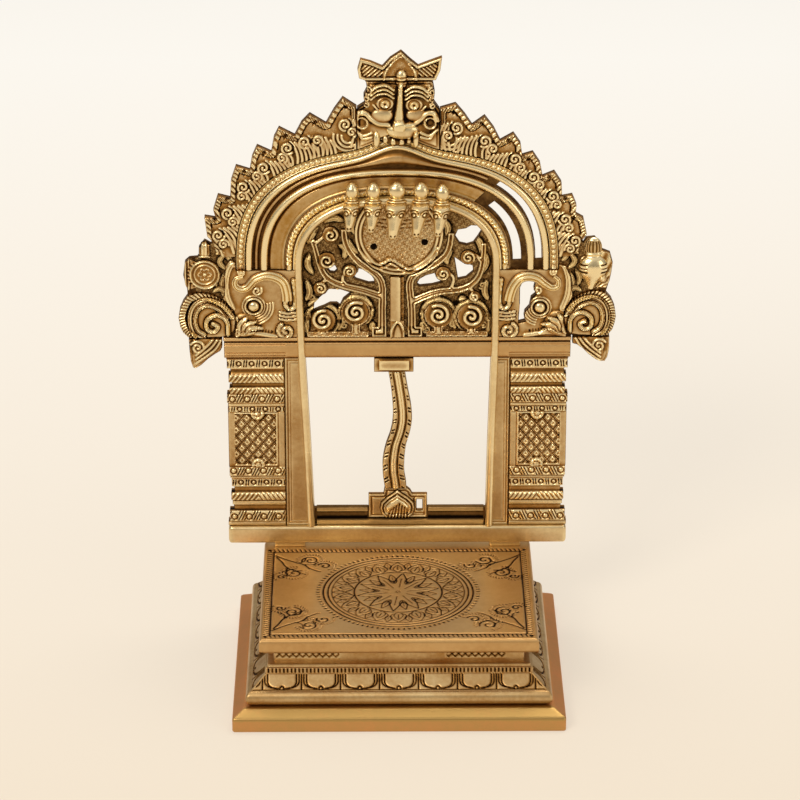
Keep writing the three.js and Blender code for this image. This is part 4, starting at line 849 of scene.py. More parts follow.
def tick_carving(side, across, inset, height):
    """Upright cuts, one in each pitch, between two plain edges."""
    on_band = (inset < 16) & (height > dentil_low + 0.9) & (height < dentil_low + 3.3)
    return np.where(on_band, -0.5 * np.clip(wave(across, tick_pitch), 0, 1), 0)


add_course("dentil_course", dentil_section, tick_carving, level=0.52)

# %% Neck
neck_low, neck_high = [np.array(v)[2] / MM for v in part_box("neck_course")]
neck_section = [(19.8, neck_low), (19.8, neck_high), (24.8, neck_high), (24.8, neck_low)]
neck_panels = ((-60, -28), (22, 52))
crossing_pitch = 3.2


def neck_carving(side, across, inset, height):
    """On the front, panels raised by 0.2 mm, cut by two sets of lines that lean 45 degrees. Along
    the neck they are one pitch apart, so straight across they are 0.71 of it apart."""
    raised = 0.0
    for low, high in neck_panels:
        edge = np.minimum(np.minimum(across - low, high - across),
                          np.minimum(height - neck_low - 1.2, neck_high - 1 - height))
        on_panel = np.clip(edge * 2.5, 0, 1)
        crossed = [np.clip(wave(across + turn * height, crossing_pitch), 0.3, 1) - 0.3
                   for turn in (1, -1)]
        inner = np.clip((edge - 0.7) * 3, 0, 1)
        raised = raised + 0.2 * on_panel - 0.75 * inner * np.maximum(*crossed)
    return np.where((inset < 20) & (side == 0), raised, 0)


add_course("neck_course", neck_section, neck_carving, level=0.5)

# %% [markdown]
# ## Seat
#
# The seat is a flat slab with a round polished lip. Its top is punched and chased: a border of
# short strokes, a medallion of dots, rings, petals and a pointed flower, and a leafy spray in each
# corner. The slab is one grid. Its outer rows step down the lip's profile, and the rest is a height
# field that is carved with the same tools as the castings.

# %% Slab grid
slab_low, slab_high = [np.array(v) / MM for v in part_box("seat_slab")]
lip = np.array([(1.4, 0), (0.8, 0.25), (0.35, 0.8), (0.08, 1.6), (0, 2.7), (0, 4.1), (0, 5.4),
                (0.1, 6.1), (0.35, 6.75), (0.75, 7.2), (1.2, 7.43), (1.7, 7.5)])
lip_width = 2.0
slab_step = 0.46
# The tenons are 11 by 2.4 mm, and the mortises leave 0.3 mm round them.
tenon_middle, tenon_half, tenon_thick = 54.25, 5.5, 2.4
mortise_half, mortise_depth, play = 5.8, 6.3, 0.3
foot_low, foot_high = [np.array(v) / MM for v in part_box("sill_beam")]
tenon_x = [-tenon_middle, tenon_middle]
tenon_front = foot_high[1] - 3.5
mortise_edges_x = [x + side * mortise_half for x in tenon_x for side in (-1, 1)]
mortise_edges_y = [tenon_front - play, tenon_front + (tenon_thick + play)]


def slab_lines(low, high, extra):
    """Grid lines over one direction: the lip's steps at both ends, and even lines between them with
    a close pair at each edge of a mortise."""
    low_end, high_end = low + lip_width, high - lip_width
    inner = np.arange(low_end, high_end, slab_step)
    cuts = np.array([[e - 0.02, e + 0.02] for e in extra if low_end < e < high_end]).ravel()
    inner = np.sort(np.concatenate([inner[np.min(np.abs(inner[:, None] - cuts), axis=1) > 0.08],
                                    cuts]))
    place = np.concatenate([low + lip[:, 0], inner, high - lip[::-1, 0]])
    top = np.concatenate([lip[:, 1], np.full(len(inner), lip[-1, 1]), lip[::-1, 1]])
    return place, top


slab_x, top_x = slab_lines(slab_low[0], slab_high[0], mortise_edges_x)
slab_y, top_y = slab_lines(slab_low[1], slab_high[1], mortise_edges_y)
grid_x, grid_y = np.meshgrid(slab_x, slab_y, indexing="ij")
seat = Casting(grid_x, grid_y, np.ones_like(grid_x), 0)
print("seat grid:", seat.x.shape)

# %% Chase the border
def four_sides(low, high):
    """The sides of a rectangle, each as a path of two points."""
    loop = np.array([low, (high[0], low[1]), high, (low[0], high[1])], float)
    return np.stack([loop, np.roll(loop, -1, axis=0)], axis=1)


for path in four_sides((-64, -48.4), (63.6, 44.6)):
    seat.notches(path, 2.6, 2.2, 0.42, lean=0.35)
for path in four_sides((-62.1, -46.6), (61.7, 42.8)):
    seat.groove(path, 0.9, 0.5)
print("border is cut down to", round(seat.height.min(), 2), "mm")

# %% [markdown]
# The medallion's rings are functions of the distance from its middle, and its petals of the angle
# as well, so they need no path: a groove is cut where such a function is near zero.

# %% Chase the medallion
medallion_y = -1.7
radius = seat.far(0, medallion_y)
angle = np.arctan2(seat.z - medallion_y, seat.x)


def ring_cut(at, width, depth):
    """A circular groove: a bell of the distance from the middle."""
    seat.height -= depth * bell(radius, at, width / 2)


def lens_ring(low, high, count, wide, depth, turn=0.0):
    """Outlines of pointed petals between two radii. A petal's half-width is wide * sin(pi t^0.8),
    where t runs out along it from 0 to 1, and a vein runs up its middle."""
    away = (np.mod(angle / (2 * math.pi) * count + turn, 1) - 0.5) * 2 * math.pi / count
    u = np.abs(radius * np.sin(away))
    t = (radius - low) / (high - low)
    edge = u - wide * np.sin(math.pi * np.clip(t, 0, 1) ** 0.8)
    cut = bell(edge, 0, 0.36)
    cut = np.maximum(cut, 0.7 * bell(u, 0, 0.3) * (t > 0.2) * (t < 0.7))
    seat.height -= depth * cut * ((t > 0) & (t < 1))


dot_count = 96
dots = bell(radius, 39.4, 0.75) * np.clip(np.cos(angle * dot_count) * 1.8, 0, 1)
seat.height -= 0.65 * dots
for at, width, depth in ((36.9, 0.9, 0.5), (34.6, 0.8, 0.45), (21.6, 0.9, 0.45),
                         (32.6, 0.7, 0.35)):
    ring_cut(at, width, depth)
lens_ring(22.2, 32.2, 18, 3.9, 0.42)
lens_ring(22.2, 29.6, 18, 2.2, 0.36)
lens_ring(25.6, 32.2, 18, 1.7, 0.36, 0.5)
lens_ring(0.6, 20.6, 10, 3.3, 0.5, 0.2)
lens_ring(9.0, 19.4, 10, 1.8, 0.38, 0.7)
print("medallion:", dot_count, "dots round three rings of petals")

# %% [markdown]
# A spray has two stems, four curls with a fringe and five short leaves. Their places are counted
# in from the corner of the seat, so one list serves all four corners.

# %% Chase the corner sprays
spray_stems = ([(0, 1), (4, 4.5), (9, 8), (14, 11), (17, 15.5)],
               [(0.5, 3), (3, 8), (5, 13), (8.5, 17), (13, 18)])
spray_curls = ((17.5, 6.5, 4.6, 200, 1.4), (9.5, 20.5, 4.8, 80, -1.5), (24.5, 12.5, 3.4, 160, 1.1),
               (3.4, 24.5, 2.6, 10, -1.1))
spray_leaves = ((11, 9.5, 15, 4), (14, 11, 21, 9), (6, 14, 2.5, 19.5), (9, 17, 15, 22),
                (17, 15.5, 22.5, 19))


def chase_spray(side_x, side_y):
    """Cuts one spray. Its root is the corner, and towards points from it to the seat's middle."""
    root = np.array([side_x * 61.0, side_y * 41.5 + medallion_y])
    towards = np.array([-side_x, -side_y], float)
    for stem in spray_stems:
        seat.groove(smooth(root + np.array(stem) * towards, 7), 0.9, 0.5)
    for cx, cy, r, start, turns in spray_curls:
        centre = root + np.array([cx, cy]) * towards
        turns = turns * side_x * side_y
        seat.groove(spiral(*centre, r, 0.7, start, turns), 0.9, 0.48)
        fringe = spiral(*centre, r + 1.9, r + 1.7, start, turns * 0.55)
        seat.notches(fringe, 1.8, 1.5, 0.34, lean=0.4)
    for ax, ay, bx, by in spray_leaves:
        leaf = np.array([(ax, ay), ((ax + bx) / 2 + 1, (ay + by) / 2 + 1), (bx, by)])
        seat.groove(smooth(root + leaf * towards, 7), 0.8, 0.4)


for side_x in (-1, 1):
    for side_y in (-1, 1):
        chase_spray(side_x, side_y)
print("the deepest cut on the seat is", round(-seat.height.min(), 2), "mm")

# %% Close the slab
mortise = np.zeros(seat.x.shape, bool)
for x in tenon_x:
    mortise |= ((np.abs(seat.x - x) < mortise_half) & (seat.z > mortise_edges_y[0])
                & (seat.z < mortise_edges_y[1]))
top = np.minimum(top_x[:, None], top_y[None, :]) + slab_low[2]
flat_top = (top_x[:, None] > lip[-2, 1]) & (top_y[None, :] > lip[-2, 1])
height = np.where(flat_top, top + np.clip(seat.height, -0.8, 0), top)
height = np.where(mortise, slab_high[2] - mortise_depth, height)
# The punched lines are painted darker: patina in them and painted shade.
slab_relief = np.where(flat_top, np.clip(0.66 + 1.7 * seat.height, 0, 1), 0.54)
index = np.arange(height.size).reshape(height.shape)
cells = np.stack([index[:-1, :-1], index[1:, :-1], index[1:, 1:], index[:-1, 1:]], axis=-1)
edge_loop = np.concatenate([index[:-1, 0], index[-1, :-1], index[:0:-1, -1], index[0, :0:-1]])
add_piece("seat_slab", np.dstack([seat.x, seat.z, height]),
          [cells.reshape(-1, 4), edge_loop[None, ::-1]], seat_brass, PEDESTAL, ["seat_slab"],
          "pale_brass", slab_relief)


# %% Tie screws
# The four screws under the seat keep their CAD shape. They are plain steel.
def dress(node, material):
    """Gives a material to a CAD node that keeps its shape."""
    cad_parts[node].data.materials.clear()
    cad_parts[node].data.materials.append(material)


for number in range(1, 5):
    dress(f"tie_screw_{number}", oiled_steel)

# %% [markdown]
# ## Foot of the panel
#
# A plain rounded bar, the sill, stands on two feet. Under each foot a tenon drops into the seat.
# They are rounded blocks, rubbed bright. On the sill a fillet and a sunken strip close the foot of
# the window, and the stepped bracket stands in its middle.

# %% Depths of the panel
# The castings of the arch stand 2.6 mm proud of the plate, and the rod lies on their face.
proud = 2.6
panel_back = foot_high[1]
plate_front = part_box("arch_rod")[1][1] / MM + proud
face_front = plate_front - proud
rod_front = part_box("arch_rod")[0][1] / MM
sill_top = foot_high[2]
seat_top = slab_high[2]
print("y of the panel's back, plate, castings and rod:",
      [round(float(y), 1) for y in (panel_back, plate_front, face_front, rod_front)])


# %% Sill, feet and tenons
def add_block(name, low, high, radius, nodes=(), material=None, level=0.66, slot="brass"):
    """A rounded block between two corners."""
    rings = rounded_box(low, high, radius)
    add_piece(name, rings, tube_faces(*rings.shape[:2]), material or burnished_brass, PANEL, nodes,
              slot, level)


sill_under, foot_half = 45.3, 7.75
add_block("sill_bar", (foot_low[0], rod_front, sill_under), (foot_high[0], panel_back, sill_top),
          1.5, ["sill_beam"])
for number, x in enumerate(tenon_x, 1):
    add_block(f"sill_foot_{number}", (x - foot_half, rod_front + 1, seat_top),
              (x + foot_half, panel_back, sill_under + 1.2), 0.5)
    add_block(f"sill_tenon_{number}", (x - tenon_half, tenon_front, foot_low[2]),
              (x + tenon_half, tenon_front + tenon_thick, seat_top + 1), 0.3)

# %% Sill step and bracket
# Thin strips close the slits at the ends of the step and beside the bracket.
step_strip = node_casting("sill_step", panel_back, 2.6)
step_strip.height = np.select([step_strip.z < 57.3, step_strip.z > 61.4], [4.8, 3.5], 2.6)
finish(step_strip, patina_and_shade_brass, "dark_brass", 0.4)
for number, (low, high) in enumerate(((-43.2, -40.2), (43.2, 45.8)), 1):
    add_block(f"sill_step_end_{number}", (low, plate_front - 0.4, sill_top - 0.3),
              (high, panel_back, 63.2), 0.4, material=patina_and_shade_brass, level=0.4, slot="dark_brass")

seam_half = 0.35
for number, x in enumerate((-14.65, 15.15), 1):
    add_block(f"bracket_seam_{number}", (x - seam_half, panel_back - 2.4, 57),
              (x + seam_half, panel_back, 63.4), 0.1, material=patina_and_shade_brass, level=0.4,
              slot="dark_brass")

bracket = node_casting("step_bracket", panel_back, 2.9)
bracket.contour(1.5, 0.9, 0.6)
finish(bracket)

# %% Bud, tail and cap
# The bud bulges away from its rim. Two lines follow the rim, and flutes rise from its foot.
bud = node_casting("lotus_bud", plate_front - 0.6, 0.9, STEP * 0.8)
bud.height += 2.7 * swelling(bud.inside, 2.6)
for at, deep in ((1.7, 1.0), (3.0, 0.6)):
    bud.height -= deep * bell(bud.inside, at, 0.38) * (bud.z > 59.5)
bud.settle()
for foot in (-4.9, -3.3, -1.7, 0, 1.7, 3.3, 4.9):
    bud.groove(smooth([(foot, 57.4), (0.9 * foot + 0.4, 61),
                       (0.8 * foot + 1.0, 66.4 - 0.6 * abs(foot))]), 0.95, 1.0)
finish(bud, burnished_brass, "pale_brass")

# The tail has a double ridge down its middle and pairs of short cuts on both sides.
tail_pitch = 6.3
tail = node_casting("serpent_tail", panel_back - 0.4, 3.7, STEP * 0.8)
tail_line = smooth([(-0.4, 138.5), (0.9, 130), (2.2, 120), (2.5, 112), (1.3, 105), (-0.8, 98),
                    (-1.9, 90), (-1.9, 83), (-1.2, 78), (-0.8, 74)], 4)
tail.ridge(tail_line, 2.6, 0.9)
tail.groove(tail_line + [0.1, 0], 0.6, 0.5)
for side in (-2.0, 2.0):
    tail.groove(tail_line + [side, 0], 0.7, 0.45)
for start in (0.0, 1.7):
    window, offset, along = tail.near(tail_line, 8)
    cut = np.clip(wave(along - start - 0.5 * np.abs(offset), tail_pitch) * 8 - 7, 0, 1)
    tail.height[window] -= cut * (np.abs(offset) > 2.9) * (tail.inside[window] > 0.5)
finish(tail, burnished_brass, "pale_brass", edge=0.9)

cap = node_casting("tail_cap", panel_back, 5.4)
cap.height += 0.9 * ((cap.x > -9) & (cap.x < 6) & (cap.z > 140) & (cap.z < 145))
finish(cap)

# %% [markdown]
# ## Pillars
#
# Each pillar is a pile of mouldings. From the foot up they are petals, coves, slanted leaves and
# ticks, with a field of crossed lines in the middle. One function of the place across, u, and up a
# band, v, gives each kind, and the list says which band is which.


# %% Moulding kinds
def fraction(value):
    """The part of a number after its point."""
    return value - np.floor(value)


def moulding(kind, u, v, tall):
    """Height of a moulding over the pillar's face. u is in mm and v runs from 0 to 1.

    A bar is half an ellipse up the band, a recess is sunk and a cove is hollow. Ticks are upright
    cuts with a ring in every sixth place. Leaves are slanted half-waves, which turn round in the
    pillar's middle. Petals have a ring at their foot and lines that fan out from it."""
    swell = half_round(2 * v - 1)
    if kind == "bar":
        return 0.35 * swell
    if kind == "recess":
        return -0.75 + 0.2 * swell
    if kind == "cove":
        return -0.7 * np.sin(math.pi * np.clip(v, 0, 1))
    if kind == "tick":
        w = (fraction(u / 6.4) - 0.5) * 6.4
        y = (v - 0.5) * tall
        ring = bell(np.hypot(w, y), 1.15, 0.36)
        strokes = np.clip(wave(w + 0.12 * y, 1.3) * 2 - 0.7, 0, 1)
        cut = np.where(np.abs(w) < 1.75, ring, strokes * (np.abs(v - 0.5) < 0.36))
        return 0.15 - 0.85 * cut
    if kind == "leaf":
        lean = np.where(u > 14, 1, -1) * 0.7 * tall * v
        part = fraction((u + lean) / 2.3)
        return 0.1 + 0.8 * np.sin(math.pi * part) * np.maximum(swell, 0.5)
    w = (fraction(u / 7.4) - 0.5) * 7.4
    y = (v - (0.42 if kind == "petal" else 0.58)) * tall
    ring = bell(np.hypot(w, y), 1.5, 0.42)
    strokes = np.clip(wave(w + 0.5 * y, 1.5) * 2 - 0.6, 0, 1)
    cut = np.where(np.hypot(w, y) < 2.1, ring, strokes * (np.abs(w) > 1.6))
    return 0.45 * swell + 0.35 - 0.8 * cut * (np.abs(v - 0.5) < 0.42)


def field(u, z, low, high):
    """Diamonds inside diamonds in a sunken panel, with half a rosette at its foot and its head. m
    is 0.5 on the crossed lines and falls to 0 in the middle of each diamond."""
    edge = np.minimum(np.minimum(u - 4.2, 25.2 - u), np.minimum(z - low - 1, high - 1 - z))
    edge = np.where(u > 25.2, -1, edge)
    sunk = np.clip(edge * 2, 0, 1)
    p, q = [fraction(u / 5.4 + turn * (z - low) / 6.6) - 0.5 for turn in (1, -1)]
    m = np.maximum(np.abs(p), np.abs(q))
    lines = 1.2 * bell(m, 0.5, 0.08) + 0.9 * bell(m, 0.33, 0.05)
    lines += 0.8 * bell(m, 0.04, 0.07)
    result = -0.2 * sunk - 0.8 * sunk * np.clip(lines, 0, 1.2)
    result -= 0.4 * bell(edge, -0.9, 0.3)
    for middle in (low + 1, high - 1):
        far = np.hypot(u - 13.6, z - middle)
        petals = 0.6 + 0.4 * np.abs(np.cos(3.5 * np.arctan2(z - middle, u - 13.6)))
        rose = np.clip((3.4 - far) * 2, 0, 1) * (0.9 * petals)
        rose -= 0.5 * np.exp(-((far - 1.6) * 3) ** 2)
        result = np.where(far < 3.6, np.maximum(result, -0.2) + rose, result)
    return result


print("a bar stands", moulding("bar", 0.0, 0.5, 2), "mm proud in its middle")


# %% Pillars and jambs
pillar_inner, pillar_face = 56, 4.9
pillar_bands = [
    (57, "bar"), (63, "petal"), (66, "recess"), (68.5, "bar"), (73, "leaf"), (76, "recess"),
    (80.7, "tick"), (82, "bar"), (87, "petal_down"), (117, "field"), (120, "tick"), (122, "bar"),
    (127, "petal"), (130.5, "leaf"), (133, "recess"), (137.5, "leaf"), (140.5, "cove"),
    (145.5, "tick"), (146.1, "bar")]
for name, side in (("left", -1), ("right", 1)):
    pillar = node_casting(f"pillar_{name}", panel_back, pillar_face, STEP * 0.88)
    u = np.abs(pillar.x) - pillar_inner
    low = sill_top
    for high, kind in pillar_bands:
        here = (pillar.z >= low - 2 * (low == sill_top)) & (pillar.z < high + 2 * (high > 146))
        if kind == "field":
            shape = field(u, pillar.z, low, high)
        else:
            shape = moulding(kind, u, (pillar.z - low) / (high - low), high - low)
        pillar.height = np.where(here, pillar_face + shape, pillar.height)
        if kind not in ("recess", "cove"):
            pillar.height -= 0.5 * bell(pillar.z, high, 0.35)
        low = high
    finish(pillar, edge=0.6)

    seam = side * 55.85
    add_block(f"pillar_seam_{name}", (seam - 0.7, plate_front - 1.4, sill_top),
              (seam + 0.7, panel_back, 146), 0.25, level=0.3)
    jamb = node_casting(f"jamb_{name}", panel_back, 4.8)
    jamb.contour(1.3, 0.7, 0.45)
    jamb.contour(2.6, 0.5, 0.25)
    finish(jamb, edge=0.5)

# %% Lintel
lintel = node_casting("lintel", panel_back, pillar_face)
bar = half_round((lintel.z - 150.5) / 4.0)
wide = np.abs(lintel.x) > 55
lintel.height = np.where(lintel.z < 154.5, 4.5 + 0.6 * bar, 5.1)
lintel.height -= 0.9 * bell(lintel.z, 154.7, 0.5)
for z, depth in ((147.2, 0.45), (148.6, 0.45), (153.0, 0.35)):
    lintel.height -= depth * wide * bell(lintel.z, z, 0.35)
finish(lintel, seat_brass, edge=0.6)

# %% [markdown]
# ## Arch mouldings
#
# The arch is a family of curves: the reach is a band's half-span, and a superellipse whose power
# and rise grow with the reach gives its shape, with a small point on top of the outer bands. Each
# moulding is a strip between two reaches. Its front is a function of the place across, v, and along
# it, s: a rope has slanted swellings, ribs are round, and the bead band is a row of half-balls.

# %% Arch curves
spring, arch_foot, rod_reach = 195.0, 193, 48.4


def arch_point(reach, angle):
    """x = reach cos^p and z = spring + rise sin^p + lift, with p = 2 / (2.4 + 0.007 (reach -
    48.4)), rise = 34 + 0.845 (reach - 48.4) and a bell-shaped lift near the middle."""
    beyond = reach - rod_reach
    power = 2 / (2.4 + 0.007 * beyond)
    x = np.sign(np.cos(angle)) * reach * np.abs(np.cos(angle)) ** power
    lift = np.clip((reach - 67) / 4, 0, 1) * 7 * bell(x, 0, 14)
    return x, spring + (34 + 0.845 * beyond) * np.abs(np.sin(angle)) ** power + lift


def even_angles(reach, start, step):
    """Angles that lie evenly along the curve, step mm apart, from start in degrees to its left end,
    and how far along it each of them is."""
    angle = np.radians(np.linspace(start, 180, 6000))
    x, z = arch_point(reach, angle)
    travel = np.concatenate([[0], np.cumsum(np.hypot(np.diff(x), np.diff(z)))])
    even = np.linspace(0, travel[-1], int(travel[-1] / step) + 2)
    return np.interp(even, travel, angle), even


print("the rod's curve rises to", round(arch_point(rod_reach, math.pi / 2)[1], 1), "mm")


# %% Strips of the arch
def arch_strip(node, inner, outer, front, across, start=0, material=None, slot="brass", step=0.45):
    """A strip of the arch from one reach to another. front(v, s) is how far its surface stands in
    front of the plate. It goes straight down from the spring to the arch's foot at its left end,
    and at its right end too if it starts there, at 0 degrees."""
    step = step * 1
    drop = spring - arch_foot
    angle, along = even_angles((inner + outer) / 2, start, step)
    near, far = np.stack(arch_point(inner, angle)), np.stack(arch_point(outer, angle))
    if start == 0:
        near = np.column_stack([[inner, arch_foot], near])
        far = np.column_stack([[outer, arch_foot], far])
        along = np.concatenate([[-drop], along])
    near = np.column_stack([near, [-inner, arch_foot]])
    far = np.column_stack([far, [-outer, arch_foot]])
    along = np.concatenate([along, [along[-1] + drop]])
    v = np.linspace(0, 1, across)[None]
    high = front(v, along[:, None]) * np.ones((len(along), across))
    x = near[0][:, None] * (1 - v) + far[0][:, None] * v
    z = near[1][:, None] * (1 - v) + far[1][:, None] * v
    rings = np.dstack([x, plate_front - high, z])
    rear = rings[:, [-1, 0]].copy()
    rear[..., 1] = plate_front
    # The higher a point stands, the lighter it is painted: a painted highlight on the ribs, and
    # painted shade with the patina in the hollows.
    relief = np.clip(0.36 + 0.62 * (high - 0.7) / 2.4, 0, 1)
    relief = np.column_stack([relief, np.full((len(along), 2), 0.3)])
    rings = np.concatenate([rings, rear], axis=1)
    add_piece(node, rings, tube_faces(*rings.shape[:2]), material or chased_brass, PANEL, [node],
              slot, relief)


# %% Bands of the arch
def round_rib(v, s):
    """A little fuller than half an ellipse across."""
    return 1.0 + 2.3 * half_round(2 * v - 1) ** 0.9


def rope(v, s):
    """A flat ring under the rod, then a rope: swellings that slant across it 2.1 mm apart."""
    cord = half_round((v - 0.74) / 0.2)
    twist = 0.2 + 0.8 * np.abs(np.sin(math.pi * (s + 2.4 * v) / 2.1)) ** 0.7
    return np.where(v < 0.5, 2.6, 1.1) + np.where(v < 0.5, 0, 2.3 * cord * twist)


def plain_web(v, s):
    """A hollow web with a dark line along its outer edge and a fine one along its inner edge."""
    lines = 0.35 * bell(v, 0.16, 0.06) + 1.2 * bell(v, 0.95, 0.06)
    return 1.5 - 0.4 * np.sin(math.pi * v) - lines


def sunk_web(v, s):
    """A sunken channel with a flat band along its middle: exp(-((v - 0.5) / 0.27)^4)."""
    return 0.1 + 1.25 * np.exp(-((v - 0.5) / 0.27) ** 4)


bead_pitch = 2.7


def beads(v, s):
    """Half-balls, one in each pitch, between two raised edges."""
    ball = 1 - ((np.mod(s, bead_pitch) - bead_pitch / 2) / 1.3) ** 2 - ((v - 0.5) / 0.34) ** 2
    edges = bell(v, 0.02, 0.09) + bell(v, 0.98, 0.09)
    return 1.5 + 1.15 * np.sqrt(np.clip(ball, 0, 1)) + 0.9 * edges


arch_strip("rope_band", 46.7, 55.2, rope, across=30)
arch_strip("inner_web", 55.5, 62.9, plain_web, across=22, start=52, material=burnished_brass)
arch_strip("middle_rib", 63.2, 67.0, round_rib, across=13, material=burnished_brass,
           slot="pale_brass", step=0.8)
arch_strip("upper_web", 67.3, 70.5, sunk_web, across=15, start=56, step=0.8)
arch_strip("outer_rib", 70.8, 74.3, round_rib, across=13, material=burnished_brass,
           slot="pale_brass", step=0.8)
arch_strip("bead_band", 74.6, 78.4, beads, across=16)

# %% Rod round the window and the arch
# It is half a round bar, 3.8 mm wide, that goes up one side, round the arch and down the other.
angle, _ = even_angles(rod_reach, 0, 1.0)
rod_arch = np.column_stack(arch_point(rod_reach, angle))
right_leg = smooth([(46, 54.5), (46.8, 100), (48, 146), (rod_reach, arch_foot)], 20)[:-1]
left_leg = smooth([(-rod_reach, arch_foot), (-47.2, 146), (-45, 100), (-43.3, 54.5)], 20)[1:]
rod_line = np.vstack([right_leg, rod_arch, left_leg])
heading = np.gradient(rod_line, axis=0)
heading /= np.linalg.norm(heading, axis=1, keepdims=True)
heading[[0, -1]] = [[0, 1], [0, -1]]
turn = np.linspace(0, math.pi, 15)
rod_half = 1.9
rod_rings = np.dstack([
    rod_line[:, :1] + rod_half * np.cos(turn) * heading[:, 1:],
    np.broadcast_to(face_front - 2.4 * np.sin(turn) ** 0.8, (len(rod_line), len(turn))),
    rod_line[:, 1:] - rod_half * np.cos(turn) * heading[:, :1]])
add_piece("arch_rod", rod_rings, tube_faces(*rod_rings.shape[:2]), burnished_brass, PANEL,
          ["arch_rod"], "pale_brass", 0.72)

# %% [markdown]
# ## Tympanum
#
# Inside the arch two trees grow from the lintel round a middle post and hold a round hood. Their
# limbs are bands with a cord along each edge. Such a pattern is cut in wax before the casting. Here
# the distance in from the outline gives the cords, and scrolls are spiral ridges on sunk rounds.


# %% Cords and scrolls
def corded_edges(casting):
    """A cord along the outline, a dark line inside it and a round middle."""
    near, height = casting.inside, 0.55
    casting.height += height * bell(near, 0.75, 0.5)
    casting.height -= 0.8 * height * bell(near, 1.4, 0.32)
    casting.height += 0.8 * height * swelling(near - 1.6, 0.5)


def corded(casting, path, width, height, line=0.5, pointed=False):
    """A round band with two lines along it, and a dark line on each side. The width of a pointed
    one follows the root of a half wave, and falls to nothing at both ends."""
    window, offset, along = casting.near(path, width)
    share = np.abs(offset) / (width / 2)
    if pointed:
        share = share / np.sqrt(np.clip(np.sin(math.pi * along / along.max()), 0.02, 1))
    body = height * half_round(share) ** 0.7
    body -= line * bell(share, 0.42, 0.14)
    side = 0.55 * bell(share, 1.16, 0.14)
    casting.height[window] = np.where(share < 1, casting.ground[window] + body,
                                      casting.height[window] - side)


def outward(points, side, x=0, z=0):
    """Points counted from (x, z), outwards on the right where side is 1 and on the left where it is
    -1: (x + side * a, z + b)."""
    return np.asarray(points, float) * [side, 1] + [x, z]


def arc(x, z, radius, first, last, count, side):
    """Part of a circle between two angles in degrees, which start from the side of the middle."""
    turn = np.radians(np.linspace(first, last, count))
    return np.column_stack([x - side * radius * np.cos(turn), z + radius * np.sin(turn)])


def scroll(casting, x, z, radius, start, turns, width):
    """A sunk round with a spiral ridge."""
    far = casting.far(x, z)
    level = casting.ground - 0.45
    casting.height = np.where(far < radius - 0.3, level, casting.height)
    casting.height -= 0.45 * bell(far, radius, 0.35)
    line = spiral(x, z, radius - 0.45 * width, 0.5, start, turns)
    window, offset, _ = casting.near(line, width)
    swell = 1.25 * half_round(2 * offset / width)
    casting.height[window] = np.maximum(casting.height[window], level[window] + swell)


def stipple(casting, depth, where=True):
    """Small dents over the surface: a product of two waves, each bent by the other direction."""
    x, z = casting.x, casting.z
    dents = np.sin(4.3 * x + 1.7 * np.sin(2.3 * z)) * np.sin(4.1 * z + 1.6 * np.sin(2.6 * x))
    casting.height += depth * dents * where


print("an arc of half a turn has", len(arc(0, 0, 1, 0, 180, 19, 1)), "points")


# %% Solids of several parts
def merge(parts):
    """Several closed solids as one list of points and faces."""
    points, groups, total = [], [], 0
    for solid, faces in parts:
        solid = np.asarray(solid, float).reshape(-1, 3)
        points.append(solid)
        groups += [np.asarray(group) + total for group in faces]
        total += len(solid)
    return np.vstack(points), groups


def ball(x, y, z, rx, ry, rz, rows=18, columns=24):
    """An ellipsoid as rings from its foot to its top."""
    v = np.linspace(-0.4975, 0.4975, rows)[:, None] * math.pi
    u = np.linspace(0, 2 * math.pi, columns, endpoint=False)[None]
    rings = np.dstack([x + rx * np.cos(v) * np.cos(u), y + ry * np.cos(v) * np.sin(u),
                       z + rz * np.sin(v) + 0 * u])
    return rings, tube_faces(rows, columns)


print("a ball has", ball(0, 0, 0, 1, 1, 1)[0][..., 0].size, "points")

# %% Hood and rivets
hood = node_casting("serpent_hood", plate_front, 2.4)
far = hood.far(0.8, 211.5)
lobe = smooth([(-18.6, 203.4), (-14, 197.8), (-8, 195.8), (-3, 198), (3, 194.2), (9, 193.4),
               (15, 197), (19.2, 204)])
stipple(hood, 0.3, far < 17.6)
for at, width, amount in ((20.9, 1.6, 0.6), (18.9, 1.3, 0.5)):
    hood.height += amount * bell(far, at, width / 2)
hood.height -= 0.5 * bell(far, 19.9, 0.35) + 0.4 * bell(far, 17.9, 0.35)
hood.settle()
hood.ridge(lobe, 1.7, 0.7)
hood.ridge(lobe + [0.3, -2.3], 1.3, 0.5)
hood.groove(lobe + [0.2, -1.2], 0.9, 0.5)
for level in (217.5, 219.5, 221.5):
    hood.groove(smooth([(-15, level - 1), (0, level - 3), (16, level - 1)]), 0.8, 0.35)
finish(hood)
for name in ("hood_rivet_left", "hood_rivet_right"):
    low, high = [np.array(v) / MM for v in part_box(name)]
    x, _, z = (low + high) / 2
    head = [ball(x, high[1] + 0.1, z, 1.65, 0.7, 1.65),
            ball(x, high[1] - 0.05, z, 1.15, 1.05, 1.15)]
    add_piece(name, *merge(head), patina_and_shade_brass, PANEL, [name], "dark_brass", 0.0)

